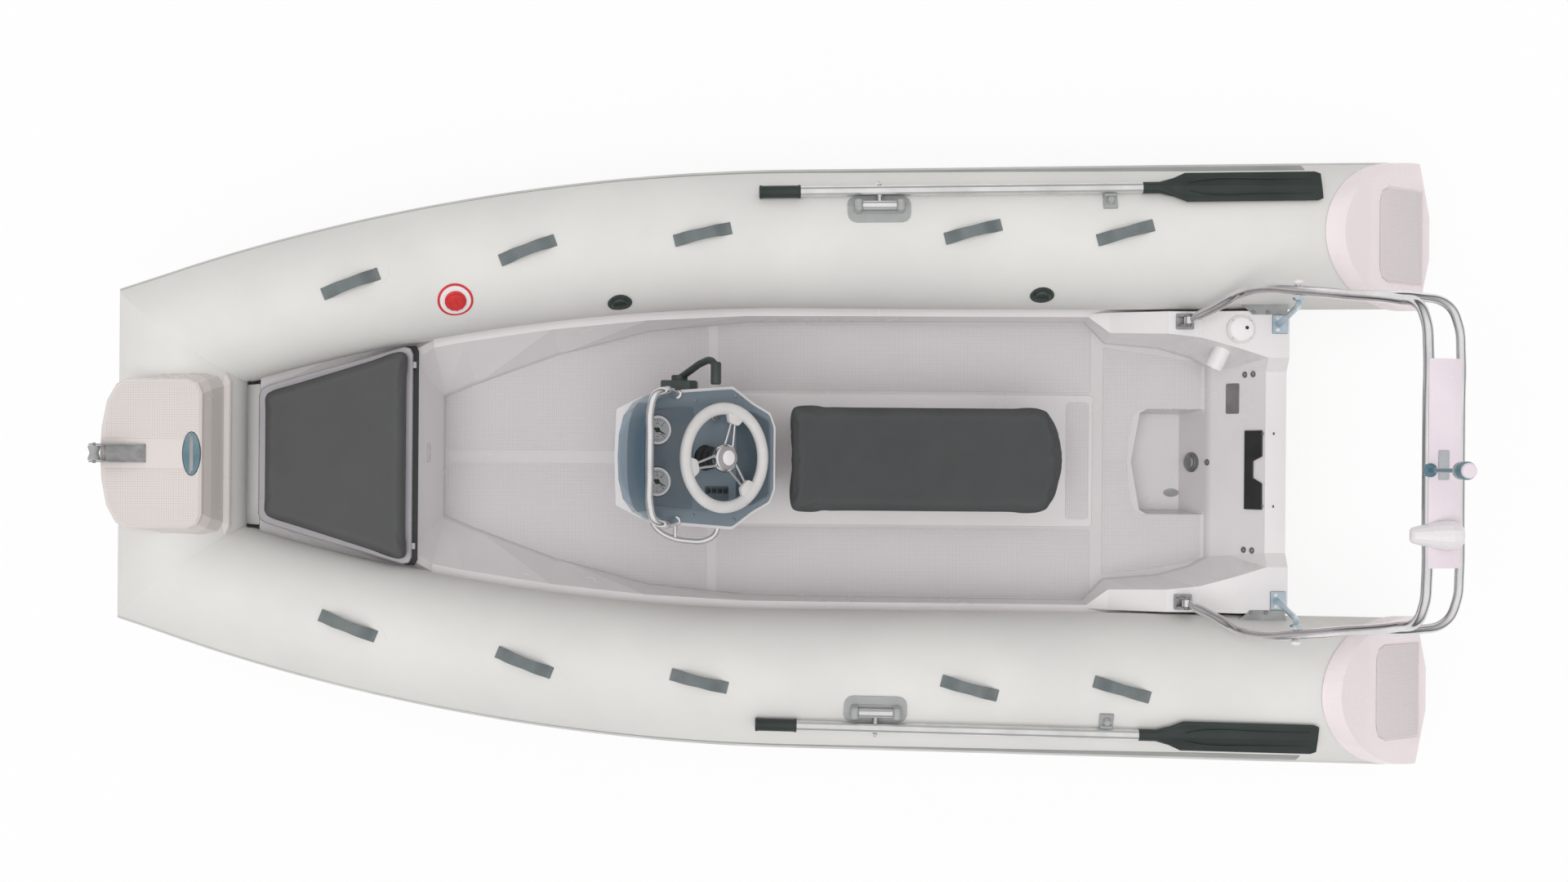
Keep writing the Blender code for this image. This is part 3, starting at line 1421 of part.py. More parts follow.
def build_console():
    """Hollow console moulding and the dash panel with its two instrument bezels."""
    form = console_form(0.0, CONSOLE_FLOOR + GAP)
    console = add_object("console", to_mesh(form, "console"), gelcoat())
    cut(console, add_cutter("above_dash", to_mesh(above_dash(0.0), "above")))
    hollow = add_cutter("console_hollow", to_mesh(console_form(CONSOLE_WALL, 0.2), "hollow"))
    cut(hollow, add_cutter("above_hollow", to_mesh(above_dash(-CONSOLE_WALL), "above")))
    cut(console, hollow)
    add_cutter("space_of_console", to_mesh(console_form(-GAP, 0.2), "space"))
    add_cutter("under_dash", to_mesh(below_dash(GAP), "under"))
    add_cutter("under_panel", to_mesh(below_dash(DASH_THICK + 2 * GAP), "under"))

    panel = console_form(DASH_INSET, 0.2)
    panel = add_object("dash_panel", to_mesh(panel, "dash_panel"), dash_plastic())
    cut(panel, add_cutter("above_panel", to_mesh(above_dash(DASH_THICK), "above")))
    front = box_shape((0.5, 1.0, 2.0), (DASH_FRONT_X + 0.004 - 0.25, 0, 1.0))
    cut(panel, add_cutter("ahead_of_panel", to_mesh(front, "front")))
    lean = Matrix.Rotation(math.atan(DASH_SLOPE), 4, "Y")
    for name, side in SIDES:
        spot = (GAUGE_X, side * GAUGE_OFFSET, dash_height(GAUGE_X) + DASH_THICK)
        frame = Matrix.Translation(spot) @ lean
        bezel = [(0.0, 0.005), (GAUGE_RADIUS - 0.007, 0.005), (GAUGE_RADIUS - 0.004, 0.009),
                 (GAUGE_RADIUS, 0.005), (GAUGE_RADIUS, -0.020), (0.0, -0.020)]
        cut(panel, turned_cutter(f"bezel_{name}", bezel, frame, 24), "UNION")
    cut(panel, bpy.data.objects["under_dash"])


SCREEN_TOP = DASH_FRONT_HEIGHT + SCREEN_RISE
SCREEN_FOOT = ((-0.520, 0.0), (-0.517, 0.070), (-0.503, 0.130), (-0.472, 0.172),
               (-0.425, 0.197), (-0.385, 0.2035))
SCREEN_HEAD = ((-0.418, 0.0), (-0.417, 0.068), (-0.413, 0.120), (-0.406, 0.156),
               (-0.393, 0.180), (-0.372, 0.192))


def build_windscreen():
    """Curved screen that leans aft, with its grab rail over it."""
    rows = []
    for t in (0.0, 0.5, 1.0):
        row = []
        for (x0, y0), (x1, y1) in zip(SCREEN_FOOT, SCREEN_HEAD):
            x, y = x0 + (x1 - x0) * t, y0 + (y1 - y0) * t
            foot = dash_height(x0) + 2 * GAP
            fall = 0.055 * max((y1 - 0.150) / 0.042, 0.0) ** 2
            bow = 0.010 * math.sin(math.pi * t)
            row.append((x - bow, y * (1 + bow), foot + (SCREEN_TOP - fall - foot) * t))
        rows.append(row)
    screen = add_object("windscreen", sheet_mesh("windscreen", rows), tinted_screen())
    thicken(both_sides(screen), SCREEN_WALL)
    cut(screen, bpy.data.objects["under_dash"])
    smooth(screen, 50.0)
    top = SCREEN_TOP + RAIL_RISE
    leg = [(-0.338, 0.199, dash_height(-0.338) - 0.023), (-0.343, 0.202, top - 0.212),
           (-0.350, 0.204, top - 0.082), (-0.362, RAIL_HALF, top - 0.032),
           (-0.390, 0.190, top - 0.005), (RAIL_X, 0.150, top - 0.001),
           (RAIL_X - 0.002, 0.060, top)]
    route = leg + [(x, -y, z) for x, y, z in leg[::-1]]
    mesh = pipe_mesh("windscreen_rail", smooth_route(route, 2), RAIL_RADIUS, 2)
    rail = smooth(add_object("windscreen_rail", mesh, stainless()))
    cut(rail, bpy.data.objects["under_panel"])


def wheel_frame():
    """Middle of the wheel's rim, with Z along the steering axis."""
    axis = Vector((math.sin(WHEEL_TILT), 0, math.cos(WHEEL_TILT)))
    across = Vector((0, 1, 0))
    middle = Vector((WHEEL_X, 0, dash_height(WHEEL_X) + WHEEL_RISE))
    return placed(middle, across.cross(axis), across, axis)


def dash_below_wheel():
    """Distance from the wheel's middle down its axis to the dash panel."""
    closing = math.cos(WHEEL_TILT) + DASH_SLOPE * math.sin(WHEEL_TILT)
    return (WHEEL_RISE - DASH_THICK) / closing


def build_wheel():
    """Dished wheel with three twin spokes, on the boot of the helm."""
    frame = wheel_frame()
    section = [(WHEEL_RADIUS + RIM_RADIUS * math.sin(a), RIM_RADIUS * math.cos(a)) for a in
               round_angles(8)]
    wheel = turned_part("steering_wheel", section + section[:1], wheel_plastic(), frame, 30)
    hub = [(0.0, HUB_HIGH), (0.018, HUB_HIGH), (0.028, HUB_HIGH - 0.005),
           (HUB_RADIUS, HUB_HIGH - 0.012), (HUB_RADIUS, HUB_LOW), (0.0, HUB_LOW)]
    cut(wheel, turned_cutter("wheel_hub", hub, frame, 24), "UNION")
    for turn in (0, 120, 240):
        spin = Matrix.Rotation(math.radians(turn + SPOKE_TURN), 4, "Z")
        for tilt in (-1, 1):
            bar = along_x(0.020, WHEEL_RADIUS, 0.0045, sides=8)
            lean = Matrix.Rotation(math.atan2(SPOKE_FALL, WHEEL_RADIUS), 4, "Y")
            close = Matrix.Rotation(-tilt * math.radians(4.5), 4, "Z")
            start = Matrix.Translation((0, tilt * 0.015, SPOKE_RISE))
            shape = turned(bar, spin @ start @ close @ lean)
            label = f"spoke_{turn}_{tilt > 0}"
            cut(wheel, set_frame(add_cutter(label, to_mesh(shape, "spoke")), frame), "UNION")
        pad = box_shape((0.034, 0.062, 0.018), (WHEEL_RADIUS - 0.014, 0, -0.002))
        pad = set_frame(add_cutter(f"rim_pad_{turn}", to_mesh(turned(pad, spin), "pad")), frame)
        cut(wheel, rounded(pad, 0.005, 1), "UNION")
    bore = cylinder_shape(HELM_PIN + 0.0004, HUB_LOW - 0.01, HUB_LOW + 0.016, 16)
    cut(wheel, set_frame(add_cutter("hub_bore", to_mesh(bore, "bore")), frame))

    high = HUB_LOW - 0.0005
    foot = -dash_below_wheel()
    step = (high - foot) / 7
    boot = [(0.0, HUB_LOW + 0.014), (HELM_PIN, HUB_LOW + 0.014), (HELM_PIN, high)]
    for k, (groove, ridge) in enumerate(((0.018, 0.024), (0.022, 0.030), (0.027, 0.036))):
        boot += [(groove, high - 2 * k * step), (ridge, high - (2 * k + 1) * step)]
    boot += [(0.032, high - 6 * step), (0.042, foot), (0.042, foot - 0.040), (0.0, foot - 0.040)]
    helm = turned_part("helm", boot, black_plastic(), frame, 20)
    cut(helm, bpy.data.objects["under_panel"])


def build_throttle():
    """Side-mounted control box and its lever with a grip across the end."""
    middle = DASH_FRONT_HEIGHT - THROTTLE_DROP
    box = [(-0.392, middle - 0.055), (-0.278, middle - 0.055), (-0.278, middle + 0.038),
           (-0.300, middle + 0.055), (-0.392, middle + 0.055)]
    box = to_mesh(side_prism(box, 0.190, THROTTLE_SIDE), "throttle_box")
    box = rounded(add_object("throttle_box", box, black_plastic()), 0.005, 2)
    cut(box, bpy.data.objects["space_of_console"])
    pivot = (THROTTLE_X, THROTTLE_SIDE, middle)
    stub = along_y(-0.010, 0.010, 0.008)
    cut(box, add_cutter("throttle_stub", to_mesh(stub, "stub"), pivot), "UNION")

    disc = along_y(0.0005, 0.018, 0.026, sides=20)
    lever = add_object("throttle_lever", to_mesh(disc, "throttle_lever"), black_plastic(), pivot)
    rounded(lever, 0.003, 1)
    arm = smooth_route([(0.004, 0.010, 0.004), (0.035, 0.030, 0.040), (0.078, 0.055, 0.090),
                        (0.108, 0.063, 0.122), (0.120, 0.045, 0.135)], 2)
    arm = add_cutter("lever_arm", pipe_mesh("arm", arm, 0.0085, 2), pivot)
    cut(lever, arm, "UNION")
    grip = along_y(-0.013, 0.052, GRIP_RADIUS, (0.120, 0.135), 16)
    grip = add_cutter("lever_grip", to_mesh(grip, "grip"), pivot)
    cut(lever, rounded(grip, 0.004, 1), "UNION")
    socket = along_y(-0.01, 0.0115, 0.0084)
    cut(lever, add_cutter("lever_socket", to_mesh(socket, "socket"), pivot))


def build_side_rail():
    """Grab rail on the console's port side."""
    level = DASH_FRONT_HEIGHT - THROTTLE_DROP
    plan = ((-0.425, -0.185), (-0.408, -0.222), (-0.365, -0.252), (-0.300, -0.266),
            (-0.245, -0.262), (-0.215, -0.238), (-0.210, -0.205))
    route = smooth_route([(x, y, level) for x, y in plan], 2)
    mesh = pipe_mesh("console_side_rail", route, 0.009, 2)
    rail = smooth(add_object("console_side_rail", mesh, stainless()))
    post = pipe_mesh("post", [(-0.345, y, level) for y in (-0.257, -0.195)], 0.007, 2)
    cut(rail, add_cutter("rail_post", post), "UNION")
    cut(rail, bpy.data.objects["space_of_console"])


# Seat

def seat_outline(half=SEAT_HALF):
    front, aft = SEAT_FRONT, SEAT_AFT - SEAT_BULGE
    third = (aft - front) / 3
    points = [(front, 0.0), (front, 0.55 * half), (front, half - 0.028),
              (front + 0.008, half - 0.008), (front + 0.028, half), (front + third, half),
              (aft - third, half), (aft - 0.050, half), (aft - 0.010, half - 0.016),
              (aft + 0.010, half - 0.050), (aft + 0.70 * SEAT_BULGE, 0.48 * half),
              (SEAT_AFT, 0.0)]
    return mirrored(points)


SEAT_LOW = SEAT_TOP - SEAT_THICK
SEAT_HINGE = (SEAT_FRONT + 0.450, -SEAT_HALF, SEAT_LOW + GAP)


def build_seat():
    """Open box on the floor and the upholstered lid that's hinged on its port side."""
    outer = shrunk(seat_outline(), CUSHION_FLAT + 0.004)
    inner = shrunk(outer, SEAT_WALL)
    box = to_mesh(prism(outer, FLOOR_HEIGHT + GAP, SEAT_LOW), "seat_box")
    box = add_object("seat_box", box, gelcoat())
    hollow = prism(inner, FLOOR_HEIGHT + GAP + SEAT_WALL, SEAT_LOW + 0.05)
    cut(box, add_cutter("seat_hollow", to_mesh(hollow, "hollow")))
    mesh = cushion_mesh("seat_cushion", seat_outline(), SEAT_LOW + GAP, SEAT_TOP, SEAT_HINGE, 0.004)
    softened(add_object("seat_cushion", mesh, vinyl(), SEAT_HINGE))


def build_engine_pad():
    """Plate with a notch for the outboard's clamps, on the inner face of the transom."""
    run = Vector((SLOPE_RUN, 0, 1)).normalized()
    normal = Vector((-run.z, 0, run.x))
    foot = Vector((SLOPE_FOOT, 0, FLOOR_HEIGHT))
    outline = [(0.190, -0.157), (0.268, -0.157), (0.268, -0.070), (0.228, -0.052),
               (0.228, 0.004), (0.268, 0.020), (0.268, 0.106), (0.190, 0.106)]
    rings = [[foot + run * s + Vector((0, y, 0)) + normal * depth for s, y in outline]
             for depth in (2 * GAP, 0.007)]
    pad = add_object("engine_pad", to_mesh(loft(rings), "engine_pad"), black_plastic())
    rounded(pad, 0.0015, 1)


# Arch

ARCH_HINGE = (FOOT_X, 0.0, FOOT_AXIS_HEIGHT)
LOCK = (1.595, 0.536, 0.966)
LEG = ((1.350, 0.477, 0.624), (1.395, 0.500, 0.665), (1.462, 0.541, 0.738),
       (1.515, 0.552, 0.825), LOCK, (1.700, 0.507, 1.173), (1.800, 0.478, 1.370),
       (1.832, 0.462, 1.430), (1.847, 0.410, 1.463), (1.852, 0.340, ARCH_TOP),
       (1.852, 0.160, ARCH_TOP))
REAR_LEG = ((1.672, 0.515, 1.118), (1.750, 0.503, 1.222), (1.862, 0.488, 1.352),
            (1.925, 0.460, 1.412), (1.950, 0.400, 1.432), (REAR_BAR_X, 0.320, 1.435),
            (REAR_BAR_X, 0.150, REAR_BAR_HEIGHT))
EYE_RADIUS = 0.015
EYE_HALF = 0.0115
CHEEK_INSIDE = 0.0135
CHEEK_OUTSIDE = 0.0180
HINGE_PIN = 0.005


def full_hoop(half):
    return list(half) + [(x, -y, z) for x, y, z in reversed(half)]


def build_arch():
    """Two welded hoops that fold forward together."""
    hinge = Vector(ARCH_HINGE)
    front = [Vector(p) - hinge for p in smooth_route(full_hoop(LEG), 2)]
    hoop = add_object("arch_hoop", pipe_mesh("arch_hoop", front, ARCH_RADIUS, 2), stainless(),
                      ARCH_HINGE)
    smooth(hoop)
    rear = [Vector(p) - hinge for p in full_hoop(REAR_LEG)]
    rear = add_cutter("rear_hoop", pipe_mesh("rear_hoop", rear, REAR_HOOP_RADIUS, 2), ARCH_HINGE)
    cut(hoop, rear, "UNION")
    neck = Vector(LEG[0]) - Vector((FOOT_X, FOOT_SIDE, FOOT_AXIS_HEIGHT))
    angle = math.atan2(neck.z, neck.x)
    for name, side in SIDES:
        middle = side * FOOT_SIDE
        eye = along_y(middle - EYE_HALF, middle + EYE_HALF, EYE_RADIUS, sides=20)
        eye = add_cutter(f"arch_eye_{name}", to_mesh(eye, "eye"), ARCH_HINGE)
        cut(hoop, eye, "UNION")
        bar = box_shape((0.044, 2 * EYE_HALF, 0.018), (0.024, 0, 0))
        turn = Matrix.Translation((0, middle, 0)) @ Matrix.Rotation(-angle, 4, "Y")
        bar = add_cutter(f"arch_neck_{name}", to_mesh(turned(bar, turn), "neck"), ARCH_HINGE)
        cut(hoop, bar, "UNION")
        hole = along_y(middle - 0.03, middle + 0.03, HINGE_PIN + 0.0004, sides=16)
        hole = add_cutter(f"arch_eye_hole_{name}", to_mesh(hole, "hole"), ARCH_HINGE)
        cut(hoop, hole)
        low, high = sorted((side * (LOCK[1] - 0.03), side * (LOCK[1] + 0.03)))
        bore = along_y(low, high, LOCK_PIN_RADIUS + GAP,
                       (LOCK[0] - FOOT_X, LOCK[2] - FOOT_AXIS_HEIGHT), 16)
        cut(hoop, add_cutter(f"lock_bore_{name}", to_mesh(bore, "bore"), ARCH_HINGE))


def build_arch_foot(name, side):
    """Bracket with two cheeks and the pin on which the arch folds."""
    base = FOOT_DECK + GAP
    middle = side * FOOT_SIDE
    plate = box_shape((0.084, 0.062, 0.005), (FOOT_X, middle, base + 0.0025))
    label = f"arch_foot_{name}"
    foot = rounded(add_object(label, to_mesh(plate, label), stainless()), 0.002, 1)
    tip = arc((FOOT_X, FOOT_AXIS_HEIGHT), 0.016, 0, 180, 7)
    cheek = tip + [(FOOT_X - 0.026, base + 0.001), (FOOT_X + 0.026, base + 0.001)]
    for end in (-1, 1):
        low, high = sorted((middle + end * CHEEK_INSIDE, middle + end * CHEEK_OUTSIDE))
        side_plate = add_cutter(f"{label}_cheek_{end}", to_mesh(side_prism(cheek, low, high),
                                                                "cheek"))
        cut(foot, side_plate, "UNION")
    pin = along_y(middle - 0.024, middle + 0.024, HINGE_PIN, (FOOT_X, FOOT_AXIS_HEIGHT), 16)
    cut(foot, add_cutter(f"{label}_pin", to_mesh(pin, "pin")), "UNION")


def build_arch_strut(name, side):
    """Fixed strut whose slotted lug takes the arch's locking pin."""
    label = f"arch_strut_{name}"
    base = DECK_HEIGHT + GAP
    plate = box_shape((0.052, 0.062, 0.005), (STRUT_X + 0.014, side * STRUT_SIDE, base + 0.0025))
    strut = add_object(label, to_mesh(plate, label), stainless())
    rounded(strut, 0.002, 1)
    bar = pipe_mesh("bar", flip_side([(STRUT_X + 0.010, STRUT_SIDE, base + 0.003),
                                      (STRUT_X - 0.002, 0.490, 0.880),
                                      (LOCK[0] + 0.006, 0.4965, 0.950)], side), 0.010, 2)
    cut(strut, add_cutter(f"{label}_bar", bar), "UNION")
    x, z = LOCK[0], LOCK[2]
    lug = [(x + 0.020, z - 0.040), (x + 0.018, z + 0.006), (x + 0.006, z + 0.018),
           (x - 0.012, z + 0.018), (x - 0.018, z + 0.004), (x - 0.006, z - 0.040)]
    low, high = sorted((side * 0.5055, side * 0.5125))
    lug = add_cutter(f"{label}_lug", to_mesh(side_prism(lug, low, high), "lug"))
    cut(strut, lug, "UNION")
    back = Vector((-(z - FOOT_AXIS_HEIGHT), x - FOOT_X)).normalized()
    wide = Vector((back.y, -back.x)) * (LOCK_PIN_RADIUS + 0.0008)
    centre = Vector((x, z))
    ring = [centre - wide * math.cos(a) - back * wide.length * math.sin(a) for a in
            (math.pi * k / 6 for k in range(7))]
    slot = [tuple(p) for p in [centre - wide + back * 0.05] + ring + [centre + wide + back * 0.05]]
    slot = side_prism(slot, *sorted((side * 0.48, side * 0.53)))
    cut(strut, add_cutter(f"{label}_slot", to_mesh(slot, "slot")))


def build_lock_knob(name, side):
    """Round knob on the spring pin that locks the arch upright."""
    label = f"arch_lock_knob_{name}"
    face = ARCH_RADIUS + 0.0025
    tip = 0.0300
    profile = [(0.0, face + 0.014), (0.011, face + 0.014), (0.0165, face + 0.011),
               (0.0165, face + 0.003), (0.012, face), (LOCK_PIN_RADIUS, face),
               (LOCK_PIN_RADIUS, -tip), (0.0, -tip)]
    outward = Vector((0, side, 0))
    across = Vector((1, 0, 0))
    frame = placed(Vector((LOCK[0], side * LOCK[1], LOCK[2])), across, outward.cross(across),
                   outward)
    turned_part(label, profile, gelcoat(), frame, 14)


POD_SECTIONS = ((0.00, 0.36, 0.40), (0.05, 0.52, 0.56), (0.25, 0.70, 0.74), (0.50, 0.90, 0.92),
                (0.75, 1.00, 1.00), (0.90, 0.88, 0.88), (0.97, 0.66, 0.62), (1.00, 0.40, 0.36))


def pod_rings():
    """Sections of the horn's pod from its nose aft, flat below and round above."""
    rings = []
    for place, wide, high in POD_SECTIONS:
        x = POD_LENGTH * place
        rings.append([(x, y * wide * POD_HALF, z * high * POD_HIGH) for y, z in
                      arc((0, 0), 1.0, 0, 180, 9)])
    return rings


def build_arch_top():
    """White panel between the bars, the horn's pod and the all-round light on its pole."""
    hinge = Vector(ARCH_HINGE)
    front, rear = FRONT_BAR_X + ARCH_RADIUS + GAP, REAR_BAR_X - REAR_HOOP_RADIUS - GAP
    outline = [(front, 1.458), (rear, 1.427), (rear, 1.443), (front, 1.474)]
    panel = side_prism(outline, -PANEL_HALF, PANEL_HALF)
    panel = add_object("arch_panel", to_mesh(panel, "arch_panel", hinge), gelcoat(), hinge)
    rounded(panel, 0.003, 1)

    spot = (POD_FRONT, -0.207, ARCH_TOP + ARCH_RADIUS + GAP)
    pod = add_object("horn_pod", to_mesh(loft(pod_rings()), "horn_pod"), gelcoat(), spot)
    smooth(pod, 50.0)

    clamp = box_shape((0.031, 0.040, 0.030), (FRONT_BAR_X, -0.020, ARCH_TOP + 0.016))
    lamp = add_object("nav_light", to_mesh(clamp, "nav_light", hinge), black_plastic(), hinge)
    rounded(lamp, 0.003, 1)
    lean = math.atan2(0.0175, 0.33)
    pole = Matrix.Translation((FRONT_BAR_X + 0.001, -0.020, ARCH_TOP)) @ Matrix.Rotation(
        lean, 4, "Y")
    profile = [(0.0, 0.330), (0.014, 0.330), (0.021, 0.326), (0.022, 0.318), (0.022, 0.268),
               (0.018, 0.258), (0.009, 0.254), (0.009, 0.018), (0.0, 0.018)]
    cut(lamp, turned_cutter("lamp_pole", profile, pole, 14), "UNION")
    bar = along_y(-0.1, 0.1, ARCH_RADIUS + GAP, (FRONT_BAR_X, ARCH_TOP), 20)
    cut(lamp, add_cutter("bar_space", to_mesh(bar, "space")))


def main():
    clear_scene()
    build_tubes()
    build_end_caps()
    build_rub_strake()
    build_hull()
    build_transom()
    build_liner()
    build_handles()
    build_relief_valve()
    build_valve_cap("valve_cap_forward", -0.568, 149.3)
    build_valve_cap("valve_cap_aft", 0.835, 147.4)
    for name, side in SIDES:
        build_rowlock(name, side)
        build_oar(name, side)
    build_bow_step()
    build_cleat()
    build_roller()
    build_locker()
    build_console()
    build_windscreen()
    build_wheel()
    build_throttle()
    build_side_rail()
    build_seat()
    build_engine_pad()
    build_arch()
    for name, side in SIDES:
        build_arch_foot(name, side)
        build_arch_strut(name, side)
        build_lock_knob(name, side)
    build_arch_top()


main()
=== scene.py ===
# %% [markdown]
# # A rigid inflatable boat seen from straight above
# The frame already holds every rigid piece at its real size. This lesson gives it the
# surfaces, the upholstery and the small fittings that make it look like the real boat.
# We start by loading the frame, because everything else is placed by it. Its pieces are
# never moved: they are dressed, or a finer piece stands in for them at the same place.

# %% Load the frame
import json
import math

import bpy
from mathutils import Matrix, Vector


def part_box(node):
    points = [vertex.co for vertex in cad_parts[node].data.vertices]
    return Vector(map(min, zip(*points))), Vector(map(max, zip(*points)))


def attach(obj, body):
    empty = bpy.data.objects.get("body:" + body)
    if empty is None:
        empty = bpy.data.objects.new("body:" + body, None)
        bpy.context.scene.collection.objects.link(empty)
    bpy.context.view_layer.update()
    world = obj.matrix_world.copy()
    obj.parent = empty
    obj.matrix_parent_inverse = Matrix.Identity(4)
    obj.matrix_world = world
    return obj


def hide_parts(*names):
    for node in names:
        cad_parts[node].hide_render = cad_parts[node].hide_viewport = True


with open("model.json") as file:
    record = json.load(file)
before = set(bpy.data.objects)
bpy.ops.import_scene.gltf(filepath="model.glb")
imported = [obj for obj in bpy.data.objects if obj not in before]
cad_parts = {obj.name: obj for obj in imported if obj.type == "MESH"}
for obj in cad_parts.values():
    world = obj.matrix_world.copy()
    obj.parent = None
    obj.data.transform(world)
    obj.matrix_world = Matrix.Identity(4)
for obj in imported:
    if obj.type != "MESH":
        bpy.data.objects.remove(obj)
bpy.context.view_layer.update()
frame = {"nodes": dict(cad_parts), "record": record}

nodes = frame["nodes"]
print(len(nodes), "pieces in the frame")

# %% [markdown]
# Blender's operators act on whatever is selected, and loading leaves all pieces selected.
# Two small helpers keep that in hand: one clears the selection, one picks a single piece.
# Both first leave edit mode, because most object operators refuse to run there.

# %% Selection helpers


def deselect():
    if bpy.context.object and bpy.context.object.mode == "EDIT":
        bpy.ops.object.mode_set(mode="OBJECT")
    bpy.ops.object.select_all(action="DESELECT")


def pick(piece):
    deselect()
    piece.select_set(True)
    bpy.context.view_layer.objects.active = piece
    return piece


deselect()
print("nothing is selected")

# %% [markdown]
# The view is a plan from high above, with the bow to the left. A long lens from 7.7 m
# keeps the perspective of the picture: the arch and the lamp lean outwards a little.
# The boat lies turned by half a degree, so the camera is turned instead of the boat, whose
# pieces must stay where their joints are.

# %% Camera
CAMERA_HEIGHT = 7.70
CAMERA_TURN = math.radians(0.46)
MIDDLE_LINE = -0.0094
SENSOR = 36.0
LENS = 49.7
VIEW_SHIFT = 0.013

bpy.ops.object.camera_add(location=(0.0, MIDDLE_LINE, CAMERA_HEIGHT),
                          rotation=(0.0, 0.0, CAMERA_TURN))
camera = bpy.context.object
camera.name = "plan_camera"
camera.data.sensor_width = SENSOR
camera.data.lens = LENS
camera.data.shift_y = VIEW_SHIFT
camera.data.clip_end = 100.0
bpy.context.scene.camera = camera
print("camera", round(CAMERA_HEIGHT, 2), "m up")

# %% [markdown]
# Nodes in a shader tree are added and linked many times, so one helper does both: a value
# for an input is set, and a socket given for an input is linked. A group is a small tool
# of its own with named sockets, built once and used in many materials.

# %% Shader helpers


def add_node(tree, kind, inputs=None, **settings):
    made = tree.nodes.new(kind)
    for key, value in settings.items():
        setattr(made, key, value)
    for socket, value in (inputs or {}).items():
        if isinstance(value, bpy.types.NodeSocket):
            tree.links.new(value, made.inputs[socket])
        else:
            made.inputs[socket].default_value = value
    return made


def new_group(name, values, results):
    tree = bpy.data.node_groups.new(name, "ShaderNodeTree")
    for label, kind, start in values:
        socket = tree.interface.new_socket(label, in_out="INPUT", socket_type=kind)
        socket.default_value = start
    for label, kind in results:
        tree.interface.new_socket(label, in_out="OUTPUT", socket_type=kind)
    entry = tree.nodes.new("NodeGroupInput")
    leave = tree.nodes.new("NodeGroupOutput")
    return tree, entry.outputs, leave.inputs


def join(tree, value, socket):
    tree.links.new(value, socket)


NUMBER = "NodeSocketFloat"
COLOUR = "NodeSocketColor"
print("helpers ready")

# %% [markdown]
# No real surface has one flat colour. The first group mixes two close tints with soft
# clouds and lets the gloss wander with them, as handling, salt and sun do.

# %% Group: weathered tint


def build_weathered():
    tree, given, result = new_group(
        "weathered_tint",
        (("Tint", COLOUR, (0.8, 0.8, 0.8, 1)), ("Worn Tint", COLOUR, (0.7, 0.7, 0.7, 1)),
         ("Cloud Scale", NUMBER, 3.0), ("Gloss Low", NUMBER, 0.3), ("Gloss High", NUMBER, 0.4)),
        (("Color", COLOUR), ("Roughness", NUMBER)))
    place = add_node(tree, "ShaderNodeTexCoord")
    clouds = add_node(tree, "ShaderNodeTexNoise",
                      {"Vector": place.outputs["Object"], "Scale": given["Cloud Scale"],
                       "Detail": 5.0, "Roughness": 0.6})
    spread = add_node(tree, "ShaderNodeMapRange",
                      {"Value": clouds.outputs["Fac"], "From Min": 0.35, "From Max": 0.65})
    tint = add_node(tree, "ShaderNodeMix", {"Factor": spread.outputs["Result"]},
                    data_type="RGBA")
    join(tree, given["Tint"], tint.inputs["A"])
    join(tree, given["Worn Tint"], tint.inputs["B"])
    gloss = add_node(tree, "ShaderNodeMapRange",
                     {"Value": clouds.outputs["Fac"], "From Min": 0.3, "From Max": 0.7,
                      "To Min": given["Gloss Low"], "To Max": given["Gloss High"]})
    join(tree, tint.outputs["Result"], result["Color"])
    join(tree, gloss.outputs["Result"], result["Roughness"])
    return tree


weathered_tint = build_weathered()
print("group", weathered_tint.name)

# %% [markdown]
# The tubes are cloth under a rubber coat: a fine crossed weave still shows through it.
# Two wave patterns at right angles, multiplied, give the small pillows between the threads.

# %% Group: coated weave


def build_weave():
    tree, given, result = new_group(
        "coated_weave", (("Threads", NUMBER, 260.0),), (("Height", NUMBER),))
    place = add_node(tree, "ShaderNodeTexCoord")
    total = None
    for axis in ("X", "Y"):
        wave = add_node(tree, "ShaderNodeTexWave",
                        {"Vector": place.outputs["Object"], "Scale": given["Threads"],
                         "Distortion": 0.4, "Detail": 0.0}, bands_direction=axis)
        if total is None:
            total = wave.outputs["Fac"]
        else:
            total = add_node(tree, "ShaderNodeMath", {0: total, 1: wave.outputs["Fac"]},
                             operation="MULTIPLY").outputs["Value"]
    join(tree, total, result["Height"])
    return tree


coated_weave = build_weave()
print("group", coated_weave.name)

# %% [markdown]
# Moulded plastic, rubber and vinyl have a grain: tiny cells with shallow valleys.
# A Voronoi pattern gives the cells, and a little noise breaks them up.

# %% Group: moulded grain


def build_grain():
    tree, given, result = new_group(
        "moulded_grain", (("Cells", NUMBER, 600.0), ("Softness", NUMBER, 0.5)),
        (("Height", NUMBER),))
    place = add_node(tree, "ShaderNodeTexCoord")
    cells = add_node(tree, "ShaderNodeTexVoronoi",
                     {"Vector": place.outputs["Object"], "Scale": given["Cells"]},
                     feature="SMOOTH_F1")
    noise = add_node(tree, "ShaderNodeTexNoise",
                     {"Vector": place.outputs["Object"], "Scale": given["Cells"],
                      "Detail": 2.0})
    blend = add_node(tree, "ShaderNodeMix",
                     {"Factor": given["Softness"], "A": cells.outputs["Distance"],
                      "B": noise.outputs["Fac"]})
    join(tree, blend.outputs["Result"], result["Height"])
    return tree


moulded_grain = build_grain()
print("group", moulded_grain.name)
